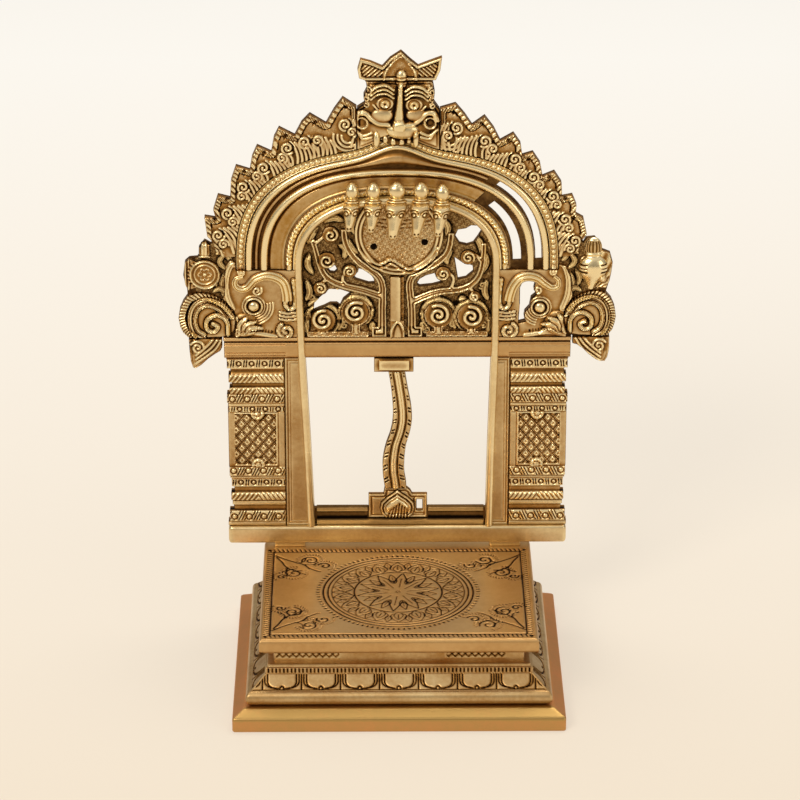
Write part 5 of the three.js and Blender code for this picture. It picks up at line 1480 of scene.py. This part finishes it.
# %% Trees
tree_scrolls = {
    "tree_left": [(-34.4, 197.6, 4.2, 200), (-23.4, 192, 3.4, 330), (-37.6, 183, 3.4, 60),
                  (-32.4, 211, 4.0, 120)],
    "tree_right": [(22.4, 190.4, 3.5, 210), (34.6, 199, 3.7, 330), (37.8, 178.4, 2.8, 120)]}
for name, rounds in tree_scrolls.items():
    tree = node_casting(name, plate_front, 2.2)
    corded_edges(tree)
    side = 1 if name == "tree_right" else -1
    tree.settle()
    tree.ground[:] = 2.7
    for x, z, radius, start in rounds:
        scroll(tree, x, z, radius, start if side > 0 else 180 - start, 1.4 * side, 1.3)
    foot = np.clip((163 - tree.z) * 2, 0, 1)
    tree.height -= 0.5 * foot * bell(tree.inside, 1.6, 0.4)
    finish(tree, edge=0.5)

# %% Foot scrolls and post
foot_rounds = {
    "foot_scrolls_left": [(-36.6, 166, 6.2, 80, 1.7), (-20.4, 170.2, 6.4, 60, 1.8)],
    "foot_scrolls_right": [(20.2, 168.6, 6.3, 120, -1.8), (36.4, 167.6, 6.4, 100, -1.7)]}
for name, rounds in foot_rounds.items():
    foot = node_casting(name, plate_front, 2.4)
    foot.contour(1.1, 0.7, 0.5)
    stipple(foot, 0.18)
    for x, z, radius, start, turns in rounds:
        scroll(foot, x, z, radius, start, turns, 1.9)
    finish(foot, edge=0.5)

post = node_casting("centre_post", plate_front, 3.3)
shaft = post.z > 166
post.height -= 0.7 * ((post.x > 1.4) & shaft)
stipple(post, 0.25, (post.x > 1.4) & shaft)
post.height += 0.45 * half_round((post.x + 1.2) / 2.6) * shaft
post.settle()
arch_leaf = smooth([(-3.3, 157.4), (-2.8, 161.5), (0.2, 165.4), (3.2, 161.5), (3.7, 157.4)])
post.ridge(arch_leaf, 1.2, 0.7)
post.groove(arch_leaf * [0.6, 1] + [0.08, -1.3], 0.8, 0.5)
finish(post, edge=0.5)

# %% [markdown]
# ## Serpent heads
#
# Five cobra heads hang from the arch in front of the rod, each under a round knob. A head is long
# and narrow, with a flat brow, round eyes on its shoulders and two nostrils. Each is a loft: a list
# of shares of its length gives the width, the back and the front, and small pushes make the eyes,
# the brow line, the nostrils and the ridge of the nose.

# %% Serpent heads
# Places: x, height of the crown and of the snout, half-width, and lean to the right.
head_places = [(-23.0, 229.8, 217.2, 3.9, 1.6), (-12.4, 229.8, 216.6, 4.3, 1.2),
               (-1.7, 230.0, 213.2, 5.2, 2.0), (9.8, 229.8, 214.2, 4.6, 2.4),
               (20.2, 228.8, 214.4, 4.2, 2.2)]
# Rows: share of the length from the snout up, share of the half-width, y of the back and the front.
head_rows = np.array([(0, 0.3, 41.6, 38.4), (0.07, 0.44, 42.4, 37.4), (0.3, 0.58, 44, 37.2),
                      (0.54, 0.76, 45.6, 37.8), (0.74, 0.95, 46.8, 38.2), (0.88, 1.04, 47.6, 39.2),
                      (0.96, 1, 48, 40.4), (1, 0.86, 48, 42)])


def serpent_head(x, crown, snout, half, lean):
    """The loft of one head, with its collars and knob, and the relief level of each point: lighter
    where it swells, polish and a painted highlight, and darker in its cuts, patina and painted
    shade.
    The lean is how far the crown stands to the right of the snout."""
    rows, columns = ((60, 60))
    share = np.linspace(0, 1, rows)
    wide, back, front = [np.interp(share, head_rows[:, 0], head_rows[:, k]) for k in (1, 2, 3)]
    turn = np.linspace(0, 2 * math.pi, columns, endpoint=False)
    across = np.sign(np.cos(turn)) * np.abs(np.cos(turn)) ** 0.8
    ahead = np.sign(np.sin(turn)) * np.abs(np.sin(turn)) ** 0.8
    px = x + half * wide[:, None] * across
    middle, deep = (back + front) / 2, (back - front) / 2
    py = middle[:, None] - deep[:, None] * ahead
    tall = crown - snout
    pz = snout + tall * share[:, None] + 0 * px
    push = 0.5 * bell(px, x, 0.2 * half) * (share[:, None] < 0.74)
    cut = np.zeros_like(px)
    for side in (-1, 1):
        eye = np.hypot(px - x - side * 0.58 * half, pz - snout - 0.72 * tall)
        above = pz > snout + 0.72 * tall
        push += 0.6 * bell(eye, 0, 0.6)
        cut += 0.9 * bell(eye, 1.05, 0.28)
        cut += 0.8 * above * bell(eye, 2.2, 0.26)
        cut += 1.4 * bell(np.hypot(px - x - side * 0.19 * half, pz - snout - 1.9), 0, 0.42)
    facing = np.clip(1.6 * ahead, 0, 1)
    py = py - (push - 0.5 * cut) * facing
    px = px + lean * (share[:, None] - 0.4)
    parts = [(np.dstack([px, py, pz]), tube_faces(rows, columns))]
    x += 0.7 * lean
    for lift, size, tall_by in ((0.6, 0.96, 0.8), (1.9, 0.74, 0.7)):
        parts.append(ball(x, 45.0, crown + lift, half * size, 2.6, tall_by, 14, 32))
    parts.append(ball(x, 44.8, crown + 5.8, half * 0.82, 2.8, 4.0, 22, 32))
    parts.append(ball(x, 44.8, crown + 7.8, half * 0.52, 2.1, 2.6, 12, 32))
    relief = np.full(sum(solid[..., 0].size for solid, _ in parts), 0.76)
    relief[:px.size] = np.clip(0.7 + 0.3 * push - 0.75 * cut * facing, 0, 1).ravel()
    return parts, relief


for number, place in enumerate(head_places, 1):
    parts, level = serpent_head(*place)
    add_piece(f"serpent_head_{number}", *merge(parts), burnished_brass, PANEL,
              [f"serpent_head_{number}"], "pale_brass", level)

# %% [markdown]
# ## Tympanum ground
#
# Between the trees the plate is rough from the sand and nearly black, from patina and painted
# shade, and small leaves fill it.
# This is a thin skin over the plate's front. Its outline is the nearer of two at each point: the
# plate's own, with its openings, and the rod's.

# %% Rough ground with leaves
plate_edge = back_outline("back_plate", plate_front)
gx, gz = np.meshgrid(np.arange(-47.4, 47.4, STEP * 1.15), np.arange(156.2, 231, STEP * 1.15),
                     indexing="ij")
ground_half = 46.4
arch_edge = np.vstack([
    [ground_half, 157], np.column_stack(arch_point(ground_half, np.linspace(0, math.pi, 90))),
    [-ground_half, 157]])
in_arch = signed_distance(gx, gz, *closed_outline(arch_edge))
skin = Casting(gx, gz, np.minimum(signed_distance(gx, gz, *plate_edge) - 0.25, in_arch), 0.7)
stipple(skin, 0.3)
skin.ground[:] = 0.6
leaf_lines = [
    [(-43.5, 206), (-41.5, 211), (-38.5, 214.5)], [(-41, 190), (-43.8, 195), (-43, 201)],
    [(-45, 176), (-43, 181), (-44.6, 187)], [(-44.4, 158.5), (-45, 165), (-43.6, 172)],
    [(-28.6, 206), (-25.4, 203), (-26, 198)], [(-36, 217.5), (-31, 219.5), (-26, 218)],
    [(-29.2, 174), (-24, 178), (-17.6, 178.6), (-13.4, 174)], [(-12.6, 160), (-12, 165)],
    [(-44, 173.4), (-40.4, 176), (-35.8, 174.6)], [(-28.8, 160.6), (-27, 166), (-29, 171)],
    [(-20, 219.6), (-21.6, 215), (-20.6, 211)], [(-24.5, 209), (-22.4, 204), (-19, 201)],
    [(41, 190), (43.4, 196), (42.6, 202)], [(37, 211), (40.4, 206), (41.4, 200)],
    [(44.8, 176), (42.8, 181), (44, 187)], [(44.4, 158.5), (45, 165), (43.6, 171)],
    [(12.6, 160), (12.4, 165)], [(28.4, 160.8), (27.4, 167), (28.8, 173.4)],
    [(13.4, 174.4), (17.4, 177.6), (22, 177)], [(30, 176.4), (34, 177.4)],
    [(22.6, 219), (24.6, 214), (23.6, 210)], [(26.6, 203), (24, 198.6), (24.6, 195)]]
for line in leaf_lines:
    corded(skin, smooth(line), 3.6, 1.6, pointed=True)
for x, z, side in ((-36.6, 166, -1), (-20.4, 170.2, -1), (20.2, 168.6, 1), (36.4, 167.6, 1)):
    corded(skin, arc(x, z, 8.1, 205, -60, 30, side), 2.4, 1.7, pointed=True)
for x, z, radius in ((-41, 168.5, 2), (-29.5, 180.5, 1.6), (-26, 163, 2.2), (27.4, 163.4, 2.2),
                     (42.4, 163.4, 1.8), (41.6, 184, 2), (-41.8, 178.2, 1.8), (14.4, 160.6, 1.8)):
    skin.ridge(spiral(x, z, radius, 0.4, 40 * x, 1.2), 1.2, 1.3)
for x, z, radius in ((-38.5, 213, 1.9), (-44, 200, 1.4), (-28.5, 202, 1.9), (-19, 222, 1.4),
                     (-28.5, 165, 1.4), (-13.2, 172, 1.5), (12.2, 170.5, 1.5), (28.5, 174.4, 1.3)):
    skin.pit(x, z, radius, 0.9)
# The ground takes the darkened brass: patina and painted shade.
add_casting("tympanum_ground", skin, [], plate_front, patina_and_shade_brass, edge=0.25)

# %% Leaves beside the wheel and the conch
wing_leaves = [
    [(84.2, 176.8), (86.2, 184), (84.6, 191)], [(83.4, 192.4), (86.8, 196.4), (84.2, 201)],
    [(88.6, 200.4), (85.4, 203), (86.8, 206.6)], [(90.6, 180.4), (87.2, 182.4), (82.8, 179.6)],
    [(80.4, 196.4), (82.6, 199.6), (80.4, 203)], [(88.4, 183.4), (89.2, 188), (87.2, 192.4)]]
for name, side in (("left", -1), ("right", 1)):
    across = np.sort(np.arange(78, 99, STEP) * side)
    gx, gz = np.meshgrid(across, np.arange(172, 211, STEP), indexing="ij")
    box = np.minimum(10.3 - np.abs(gx - 88.5 * side), 19.3 - np.abs(gz - 191.5))
    flank = Casting(gx, gz, np.minimum(signed_distance(gx, gz, *plate_edge) - 0.25, box), 0.6)
    stipple(flank, 0.25)
    flank.ground[:] = 0.5
    for line in wing_leaves:
        corded(flank, smooth(outward(line, side)), 2.9, 1.1, 0.4, pointed=True)
    # Its ground takes the darkened brass: patina and painted shade.
    add_casting(f"wing_ground_{name}", flank, [], plate_front, patina_and_shade_brass, edge=0.25)

# %% [markdown]
# ## Wings
#
# Outside the arch each wing is a makara, a water beast with a round eye, a cheek of flames and a
# trunk that curls over the pillar. Its tail rolls up into a large volute with a ribbed edge. On the
# left volute stands a wheel with a ribbed knob and on the right one a conch.

# %% Makaras
wings = {
    "left": dict(side=-1, eye=(-70.5, 173.8), cheek=(-74.8, 164), jaw=(-71, 158.8),
                 volute=(-92.8, 165), drop=(-98.4, 151.6)),
    "right": dict(side=1, eye=(70, 172.8), cheek=(79, 165.0), jaw=(74.4, 158.8),
                  volute=(94.4, 166), drop=(99.4, 152.2))}
trunks = {
    "left": [(-75.4, 189.6), (-78.8, 188.4), (-79.4, 185.6), (-77.4, 183.4), (-73.6, 183.8),
             (-69.6, 188), (-64.2, 190), (-59, 189), (-55.6, 186), (-54.3, 181), (-54, 177)],
    "right": [(76.6, 189.4), (78.8, 187), (78.4, 184.2), (75.6, 183.4), (72, 185.6),
              (68.4, 188.4), (64, 189.4), (60, 188.2), (57, 184.6), (55.4, 180), (54.8, 176.6)]}
for name, wing in wings.items():
    side = wing["side"]
    beast = node_casting(f"makara_{name}", plate_front, 2.55)
    beast.contour(0.9, 0.6, 0.35)
    horn = [(81.5, 172.5), (84, 180), (84.2, 188), (82.4, 194.4), (79.6, 196.6), (77.2, 194.6),
            (76.2, 191.4)]
    corded(beast, smooth(outward(horn, side)), 4.0, 1.1)
    beast.ridge(spiral(side * 68.8, 182.0, 2.5, 0.5, 90 + 60 * side, 1.3 * side), 1.3, 0.8)
    ex, ez = wing["eye"]
    for radius, width, height in ((4.1, 1.3, 1.1), (5.5, 0.9, 0.6)):
        beast.ridge(spiral(ex, ez, radius, radius, 0, 1.0), width, height)
    beast.height -= 0.6 * bell(beast.far(ex, ez), 3.2, 0.35)
    beast.dome(ex, ez, 2.7, 2.7, 1.7)
    for reach in (6.8, 8.2, 9.6):
        beast.ridge(arc(ex, ez, reach, -75, 10, 14, side), 1.1, 0.6)
    cx, cz = wing["cheek"]
    beast.dome(cx, cz, 6.6, 6.2, 1.5)
    beast.settle()
    foot = np.array([cx + side * 1.5, cz - 6.0])
    for lean in (-66, -38, -11, 16, 43):
        first, last = math.radians(lean), math.radians(lean - 26 * side)
        flame = [foot + 1.5 * np.array([math.sin(first), math.cos(first)]),
                 foot + 6.2 * np.array([math.sin(first), math.cos(first)]),
                 foot + 11.2 * np.array([math.sin(last), math.cos(last)])]
        corded(beast, smooth(flame), 3.0, 1.3, 0.4, pointed=True)
    beast.ridge(spiral(cx + side * 4.2, cz - 4.2, 2.3, 0.5, 90, -1.4 * side), 1.4, 1.4)
    jx, jz = wing["jaw"]
    beast.ridge(smooth([(jx - 11.5, jz - 0.8), (jx, jz + 0.7), (jx + 11.5, jz - 1.2)]), 2.4, 0.9)
    beast.notches(smooth([(jx - 9, jz + 1.6), (jx, jz + 2.6), (jx + 9, jz + 1.4)]), 1.6, 1.4, 0.4)
    for z in (166.8, 168.6, 170.4):
        corded(beast, outward([(49.4, z), (54, z - 0.5), (57.6, z + 0.2)], side), 1.5, 0.5, 0)
    leaf = spiral(side * 54.8, 160.6, 4.2, 0.8, 60 if side > 0 else 120, -1.4 * side)
    corded(beast, leaf, 2.2, 1.0)
    hook = [(54.2, 178), (54.9, 174.6), (53.0, 172.4), (50.6, 173.4), (49.9, 177), (50.2, 182),
            (50.9, 187.4)]
    corded(beast, smooth(outward(hook, side)), 2.3, 1.0)
    beast.groove(smooth(trunks[name][4:]), 8.6, 0.3)
    finish(beast)


# %% Trunks
def lying_band(path, widths, back, height):
    """A band that lies on a flat back along a path. Its height is half a circle across, and bells
    at 0.4 of the half-width part it in three cords."""
    path = smooth(path, 12)
    share = np.linspace(0, 1, len(path))
    half = np.interp(share, np.linspace(0, 1, len(widths)), widths)[:, None] / 2
    ahead = np.gradient(path, axis=0)
    ahead /= np.linalg.norm(ahead, axis=1, keepdims=True)
    v = np.linspace(-1, 1, 25)[None]
    swell = half_round(v) ** 0.7
    swell = swell - 0.4 * bell(np.abs(v), 0.4, 0.12)
    rings = np.dstack([path[:, :1] + half * v * ahead[:, 1:],
                       back - height * swell * np.minimum(half / half.max() * 1.3, 1),
                       path[:, 1:] - half * v * ahead[:, :1]])
    # The crown of each cord is painted lighter and its sides darker: painted highlight and painted
    # shade over the polish and patina.
    return rings, np.clip(0.35 + 0.55 * swell + 0 * half, 0, 1)


for name, path in trunks.items():
    rings, level = lying_band(path, [2.4, 3.4, 4.4, 5.2, 5.4, 5.4], face_front, 2.1)
    add_piece(f"makara_trunk_{name}", rings, tube_faces(*rings.shape[:2]), chased_brass, PANEL,
              [f"makara_trunk_{name}"], "pale_brass", level)

# %% Volutes and pendants
for name, wing in wings.items():
    side = wing["side"]
    x, z = wing["volute"]
    volute = node_casting(f"tail_volute_{name}", plate_front, 2.0, STEP * 0.85)
    far = volute.far(x, z)
    turn = np.arctan2(volute.z - z, (volute.x - x) * side)
    outer = (volute.inside < 3.2) & (turn > -0.9) & (turn < 2.7) & (far > 9)
    ribs = np.abs(np.sin(26 * turn + 0.9 * far))
    volute.height += np.where(outer, 0.3 + 1.0 * ribs, -0.35)
    volute.settle()
    sweep = np.array([(-11.6, 3.0), (-6.6, 9.4), (1.0, 12.0), (6.8, 8.6), (8.8, 1.6), (7.2, -5.2),
                      (3.0, -8.4)])
    for size, width in ((1.0, 3.2), (0.76, 2.4)):
        corded(volute, smooth(outward(sweep * size, side, x, z)), width, 1.35, 0.7)
    curl = [(-9.6, -6.4), (-9.0, 0.6), (-4.4, 4.0), (0.6, 1.4), (0.8, -3.4), (-2.4, -5.0),
            (-4.6, -2.4), (-2.2, -0.6)]
    corded(volute, smooth(outward(curl, side, x, z)), 2.3, 1.4, 0.6)
    finish(volute)

    dx, dz = wing["drop"]
    drop = node_casting(f"pendant_{name}", plate_front, 2.2)
    drop.contour(0.9, 0.6, 0.4)
    scroll(drop, dx, dz, 4.4, 90 - 60 * side, 1.7 * side, 1.5)
    for shift in (0, 2.4, 4.8):
        drop.ridge(smooth([(dx - side * (11.5 - 0.6 * shift), dz + 4 + 0.4 * shift),
                           (dx - side * (8.0 - 0.7 * shift), dz - 1.4 + 0.5 * shift),
                           (dx + side * 0.8, dz - 8.2 + 0.9 * shift)]), 1.5, 0.9)
    finish(drop)

# %% Wheel and knob
wx, wz = -94.2, 190.4
wheel = node_casting("wheel", plate_front, 2.2, STEP * 0.8)
far = wheel.far(wx, wz)
turn = np.arctan2(wheel.z - wz, wheel.x - wx)
for at, width, height in ((7.0, 1.0, 1.2), (5.0, 0.7, 0.6)):
    wheel.height += height * bell(far, at, 0.6 * width)
petals = 3.2 * (0.6 + 0.4 * np.abs(np.cos(3 * turn)))
wheel.height += np.where(far < 4.4, 0.8 * bell(far, petals, 0.45) - 0.25, 0)
wheel.height -= 0.5 * bell(far, 8.3, 0.4)
wheel.dome(wx, wz, 1.0, 1.0, 0.9)
beyond = (wheel.x < wx - 7) & (far > 8.4)
wheel.height += 0.45 * wave(wheel.x, 1.5) * beyond
wheel.height += 0.3 * np.cos(turn * 26) * (far > 7.4) * (far < 8.4)
finish(wheel)

knob = node_casting("wheel_knob", plate_front, 1.2, STEP * 0.8)
knob.height += 2.4 * swelling(knob.inside, 1.4)
knob.height -= 0.5 * np.clip(np.cos((knob.x + 94.1) * 3.6), -0.3, 1) * (knob.z > 200.6)
knob.height -= 0.7 * bell(knob.z, 200.3, 0.35)
finish(knob, burnished_brass)

# %% Conch
# The shell is turned: each row is a half-width and a height. Wedges are cut in its sides, and ribs
# round its top. A lip with a dent in it closes the shell's mouth, and a leaf stands behind it.
shell_rows = smooth([(0.15, 182.2), (1.2, 182.4), (1.9, 184.2), (3.4, 186.6), (5.9, 189.8),
                     (7.1, 193), (6.9, 195.6), (5.4, 198.2), (3.7, 199.6), (3.5, 200.3),
                     (4.2, 201), (3.7, 201.7), (4.1, 203.6), (3.8, 206.2), (2.4, 208.6),
                     (0.15, 209.5)], 7)
turn = np.linspace(0, 2 * math.pi, 48, endpoint=False)[None]
radius, tall = shell_rows[:, :1], shell_rows[:, 1:]
flank = (np.abs(np.cos(turn)) > 0.5) & (tall > 190.5) & (tall < 197.4)
wedges = 0.75 * np.clip(wave(tall, 1.9) * 2 - 0.6, 0, 1) * flank
ribs = 0.5 * np.abs(np.sin(6.5 * turn)) * ((tall > 202) & (tall < 208))
body = np.maximum(radius - wedges - ribs, 0.1)
middle = np.interp(tall, [182, 186, 192], [94.7, 94.9, 95.8])
shell = np.dstack([middle + body * np.cos(turn), 50.4 + 0.58 * body * np.sin(turn),
                   tall + 0 * turn])
mouth = [ball(100.2, 49.4, 188.4, 2.2, 1.7, 2.4), ball(100.3, 48.0, 188.4, 1.1, 0.7, 1.2)]
# The cuts and ribs of the shell are painted darker: patina and painted shade.
shell_level = np.concatenate([np.clip(0.8 - 1.4 * (wedges + ribs), 0, 1).ravel(),
                              np.full(mouth[0][0][..., 0].size, 0.5),
                              np.full(mouth[1][0][..., 0].size, 0.8)])
add_piece("conch", *merge([(shell, tube_faces(*shell.shape[:2])), *mouth]), burnished_brass, PANEL,
          ["conch"], "brass", shell_level)
fan = casting_over(back_outline("conch", plate_front), 1.4)
turn = np.arctan2(fan.x - 94.6, fan.z - 180)
fan.height += 0.4 * np.cos(turn * 26) * (fan.inside > 0.6)
add_casting("conch_leaf", fan, [], plate_front)

# %% [markdown]
# ## Leaf crest
#
# Outside the bead band stands a row of leaves. Each has a hatched edge, a dent near its tip, two
# curls that face each other and stems that fan down to the band. One function carves a leaf from
# the place of its tip and its two curls.


# %% One leaf of the crest
arch_middle = 205.0


def crest_leaf(crest, leaf, side):
    """Carves one leaf: a dent near its tip, six stems from the first curl and two from the second,
    and the curls. inward points from the tip to the middle of the arch, and flow is the way that
    the stems run."""
    tip, first, second = np.reshape(leaf, (3, 2))
    inward = np.array([0, arch_middle]) - tip
    inward /= np.hypot(*inward)
    aside = np.array([-inward[1], inward[0]]) * side
    dent = tip + 4.2 * inward
    crest.pit(dent[0], dent[1], 0.9, 0.9)
    crest.groove(smooth([dent - 2.2 * aside + 0.8 * inward, dent - 0.9 * inward,
                         dent + 2.2 * aside + 0.8 * inward]), 0.8, 0.5)
    lean = math.degrees(math.atan2(inward[1], inward[0]))
    flow = 0.6 * inward + [0, -0.8]
    flow /= np.hypot(*flow)
    over = np.array([-flow[1], flow[0]]) * -side
    for number in range(6):
        start = first + (2.6 + 1.95 * number) * over + (0.9 * number - 2.4) * flow
        crest.ridge(smooth([start, start + 3.5 * flow + 1.0 * over, start + 8.5 * flow + 0.7 * over,
                            start + 14 * flow - 1.4 * over]), 1.65, 1.0)
    for number in range(2):
        start = second + (2.2 + 1.8 * number) * over + (0.8 * number - 1.2) * flow
        crest.ridge(smooth([start, start + 3 * flow + 0.5 * over, start + 8 * flow - 0.8 * over]),
                    1.5, 0.9)
    for centre, radius, turns in ((first, 3.2, 1.5), (second, 2.7, -1.4)):
        far = crest.far(centre[0], centre[1])
        crest.height = np.where(far < radius + 0.2, crest.ground - 0.3, crest.height)
        crest.ridge(spiral(centre[0], centre[1], radius, 0.5, lean, turns * side), 1.55, 1.2)


# %% Crest
# Each leaf has six numbers: x and z of its tip, of its first curl and of its second one.
crest_leaves = {
    "left": [(-26.2, 280.4, -25.1, 267.8, -21.8, 263.9), (-41.4, 272.5, -44.6, 258.9, -38.4, 259.8),
             (-56.3, 265.3, -53, 255.9, -55.6, 250.9), (-67.3, 256, -64.6, 245.8, -67.9, 241.5),
             (-77.5, 245.8, -74.6, 235.9, -75.3, 231.2), (-86.2, 231.2, -82.4, 222.4, -79.9, 218),
             (-92.5, 220, -87.2, 211, -84.6, 206.4)],
    "right": [(28.5, 277.3, 28.5, 266, 24.4, 262), (42.5, 271.4, 42.2, 259.2, 46, 255.2),
              (56.2, 262.4, 56.8, 249.9, 59.6, 245.6), (66.4, 252.2, 65.8, 240.6, 68.9, 236.6),
              (77, 242.3, 75.4, 230.8, 77.4, 226.4), (85.3, 230.7, 81.6, 218.8, 83.4, 214.2),
              (89.6, 220.3, 86.6, 207.6, 84.2, 203.4)]}
for name, leaves in crest_leaves.items():
    side = 1 if name == "right" else -1
    crest = node_casting(f"crest_{name}", plate_front, 1.85, STEP * 0.95)
    turn = np.arctan2(crest.x * side, crest.z - arch_middle)
    travel = turn * crest.far(0, arch_middle)
    outside = (np.hypot(crest.x / 84.5, (crest.z - 196) / 71) > 1) & (crest.inside < 2.5)
    hatch = np.clip(wave(travel + 0.9 * crest.inside, 1.75) * 1.5, -0.2, 1)
    crest.height += np.where(outside, 0.75 - 0.6 * hatch * (crest.inside > 0.4), 0)
    crest.height -= 0.55 * bell(crest.inside, 2.8, 0.35)
    stipple(crest, 0.1)
    crest.settle()
    crest.ground[:] = 1.85
    for leaf in leaves:
        crest_leaf(crest, leaf, side)
    foliage = (-23.6, 261.6) if side < 0 else (25.4, 260.2)
    for radius in (3.2, 5.2, 7.2):
        crest.ridge(arc(*foliage, radius, 170, 320, 26, side), 1.4, 0.9)
    finish(crest, edge=0.5)

# %% [markdown]
# ## Lion mask
#
# The face of glory, a lion-like monster, bites the crown of the arch. It is the highest relief of
# the panel: a skull with bulging eyes under corded brows, a nose ridge from the crown to a broad
# muzzle, round cheeks, and ring curls where the jaw would hinge. Teeth and fangs hang over the
# arch.

# %% Mask
mask = node_casting("lion_mask", plate_front, 3.4, STEP * 0.8)
mask.height += swelling(mask.inside, 2.2)
mask.height -= 0.5 * bell(mask.inside, 1.2, 0.4)
mask.settle()
for side, ex, ez in ((-1, -5.9, 279.1), (1, 8.0, 278.4)):
    mask.dome(ex, ez, 4.3, 3.3, 1.6)
    far = np.hypot(mask.x - ex, (mask.z - ez) * 1.1)
    mask.height += 0.6 * bell(far, 1.7, 0.4) - 0.7 * bell(far, 2.7, 0.4)
    mask.height -= 0.9 * bell(far, 0, 0.6)
    for lift, width in ((4.6, 1.5), (6.6, 1.5), (8.6, 1.7)):
        brow = outward([(6.6, -2.4), (3.6, 0), (-0.6, 0.5), (-4, -1.6)], side, ex, ez + lift)
        brow = smooth(brow)
        mask.ridge(brow, width, 1.5)
        mask.groove(brow - [0, 1.0], 0.8, 0.6)
    under = outward([(5.6, -0.6), (2, -4), (-2.6, -3.8)], side, ex, ez)
    mask.ridge(smooth(under), 1.2, 1.0)
    mask.ridge(spiral(ex + side * 8.4, ez + 6.2, 2.2, 0.5, 90, 1.3 * side), 1.2, 1.0)
    for z in (2.6, -0.6):
        mask.ridge(spiral(ex + side * 9.0, ez + z, 1.5, 0.5, 90, 1.2 * side), 1.0, 0.9)
    mask.dome(ex + side * 1.4, 273.0, 5.4, 3.8, 1.5)
    ring_x = -17 if side < 0 else 15.8
    far = mask.far(ring_x, 269.4)
    mask.height += 1.5 * bell(far, 2.7, 0.75) - 2.2 * np.exp(-(far / 1.5) ** 4)
    lip_band = smooth(outward([(3.4, 270.6), (1.6, 273.9), (-1.8, 274.2), (-4.6, 271.4),
                               (-8, 269.2), (-12.6, 268.6)], side, ring_x))
    for drop in (0, 2.3):
        jowl = [(3.4 - drop, 265.6 - drop), (-0.4, 263 - 0.7 * drop), (-4.6, 264.4 - drop)]
        mask.ridge(smooth(outward(jowl, side, ring_x)), 1.6, 1.1)
    mask.groove(lip_band - [0, 1.7], 0.9, 0.8)
    mask.ridge(lip_band, 2.7, 1.7)
stipple(mask, 0.18, mask.z > 283)
nose = np.clip((293 - mask.z) / 24, 0, 1)
near = np.abs(mask.x - (1.9 - 1.2 * nose)) / (1.2 + 1.9 * nose ** 3)
mask.height += np.where(mask.z > 266, 2.0 * (0.5 + nose) * half_round(near), 0)
mask.settle()
mask.dome(2.0, 290.4, 2.8, 3.6, 1.6)
mask.ground = np.minimum(mask.ground, 6.6)
mask.dome(2.4, 268.0, 6.6, 3.2, 2.0)
for x in (-1.6, 3.4):
    mask.dome(x, 269.6, 1.6, 1.2, 1.0)
mask.height = np.minimum(mask.height, 8.4)
finish(mask)

# %% Jaw and teeth
jaw_edge = np.array([(-17, 10.3), (-11.5, 1.3), (-11.6, -3.2), (-9.6, -5.1), (-8.4, -2.3),
                     (-4, -3.3), (0, -4.1), (4.5, -3.3), (7.2, -2.5), (8.2, -5.7), (10, -3.7),
                     (10.6, 1.3), (17, 10.3)]) + [0, 261.688]
jaw = casting_over(closed_outline(jaw_edge), 0.9, STEP * 0.8)
jaw.dome(2.6, 265.4, 8.2, 4.4, 3.6)
jaw.settle()
jaw.groove(smooth([(-9, 264.8), (-5, 262.8), (2.8, 261.4), (7, 262.2), (9.6, 264)]), 1.0, 1.2)
for x, z in ((-5.8, 260.6), (-2, 259.4), (2.2, 259.2), (5.8, 260.2)):
    jaw.dome(x, z, 1.3, 2.1, 1.3)
for x in (-10.1, 9.3):
    jaw.dome(x, 260.6, 2.0, 5.2, 2.8)
jaw.height = np.minimum(jaw.height, 5.8)
add_casting("lion_jaw", jaw, [], face_front)

# %% Crown
crown = node_casting("mask_crown", plate_front, 3.2, STEP * 0.8)
spread = np.abs(crown.x - 1.4)
crown.height += 0.5 * (crown.inside < 1.3) - 0.5 * bell(crown.inside, 1.7, 0.35)
wing_hatch = wave(spread * 0.8 + crown.z * 0.9, 1.9)
crown.height += np.where((spread > 8.5) & (crown.inside > 1.7), 0.45 * wing_hatch, 0)
crown.settle()
middle_leaf = smooth([(-6.4, 291), (-4.6, 296.4), (1.6, 302.4), (7.4, 296.4), (9.2, 291)])
crown.ridge(middle_leaf, 1.5, 0.8)
crown.groove(middle_leaf * [0.72, 1] + [0.5, -1.5], 0.9, 0.6)
stipple(crown, 0.3, spread < 8)
crown.dome(2.0, 292.4, 2.6, 3.4, 1.8)
finish(crown)

# %% Back plate
# The plate keeps its CAD shape. It only takes the dark skin of the sand mould.
dress("back_plate", sand_skin)
print(len(made), "pieces with", sum(made.values()), "triangles")
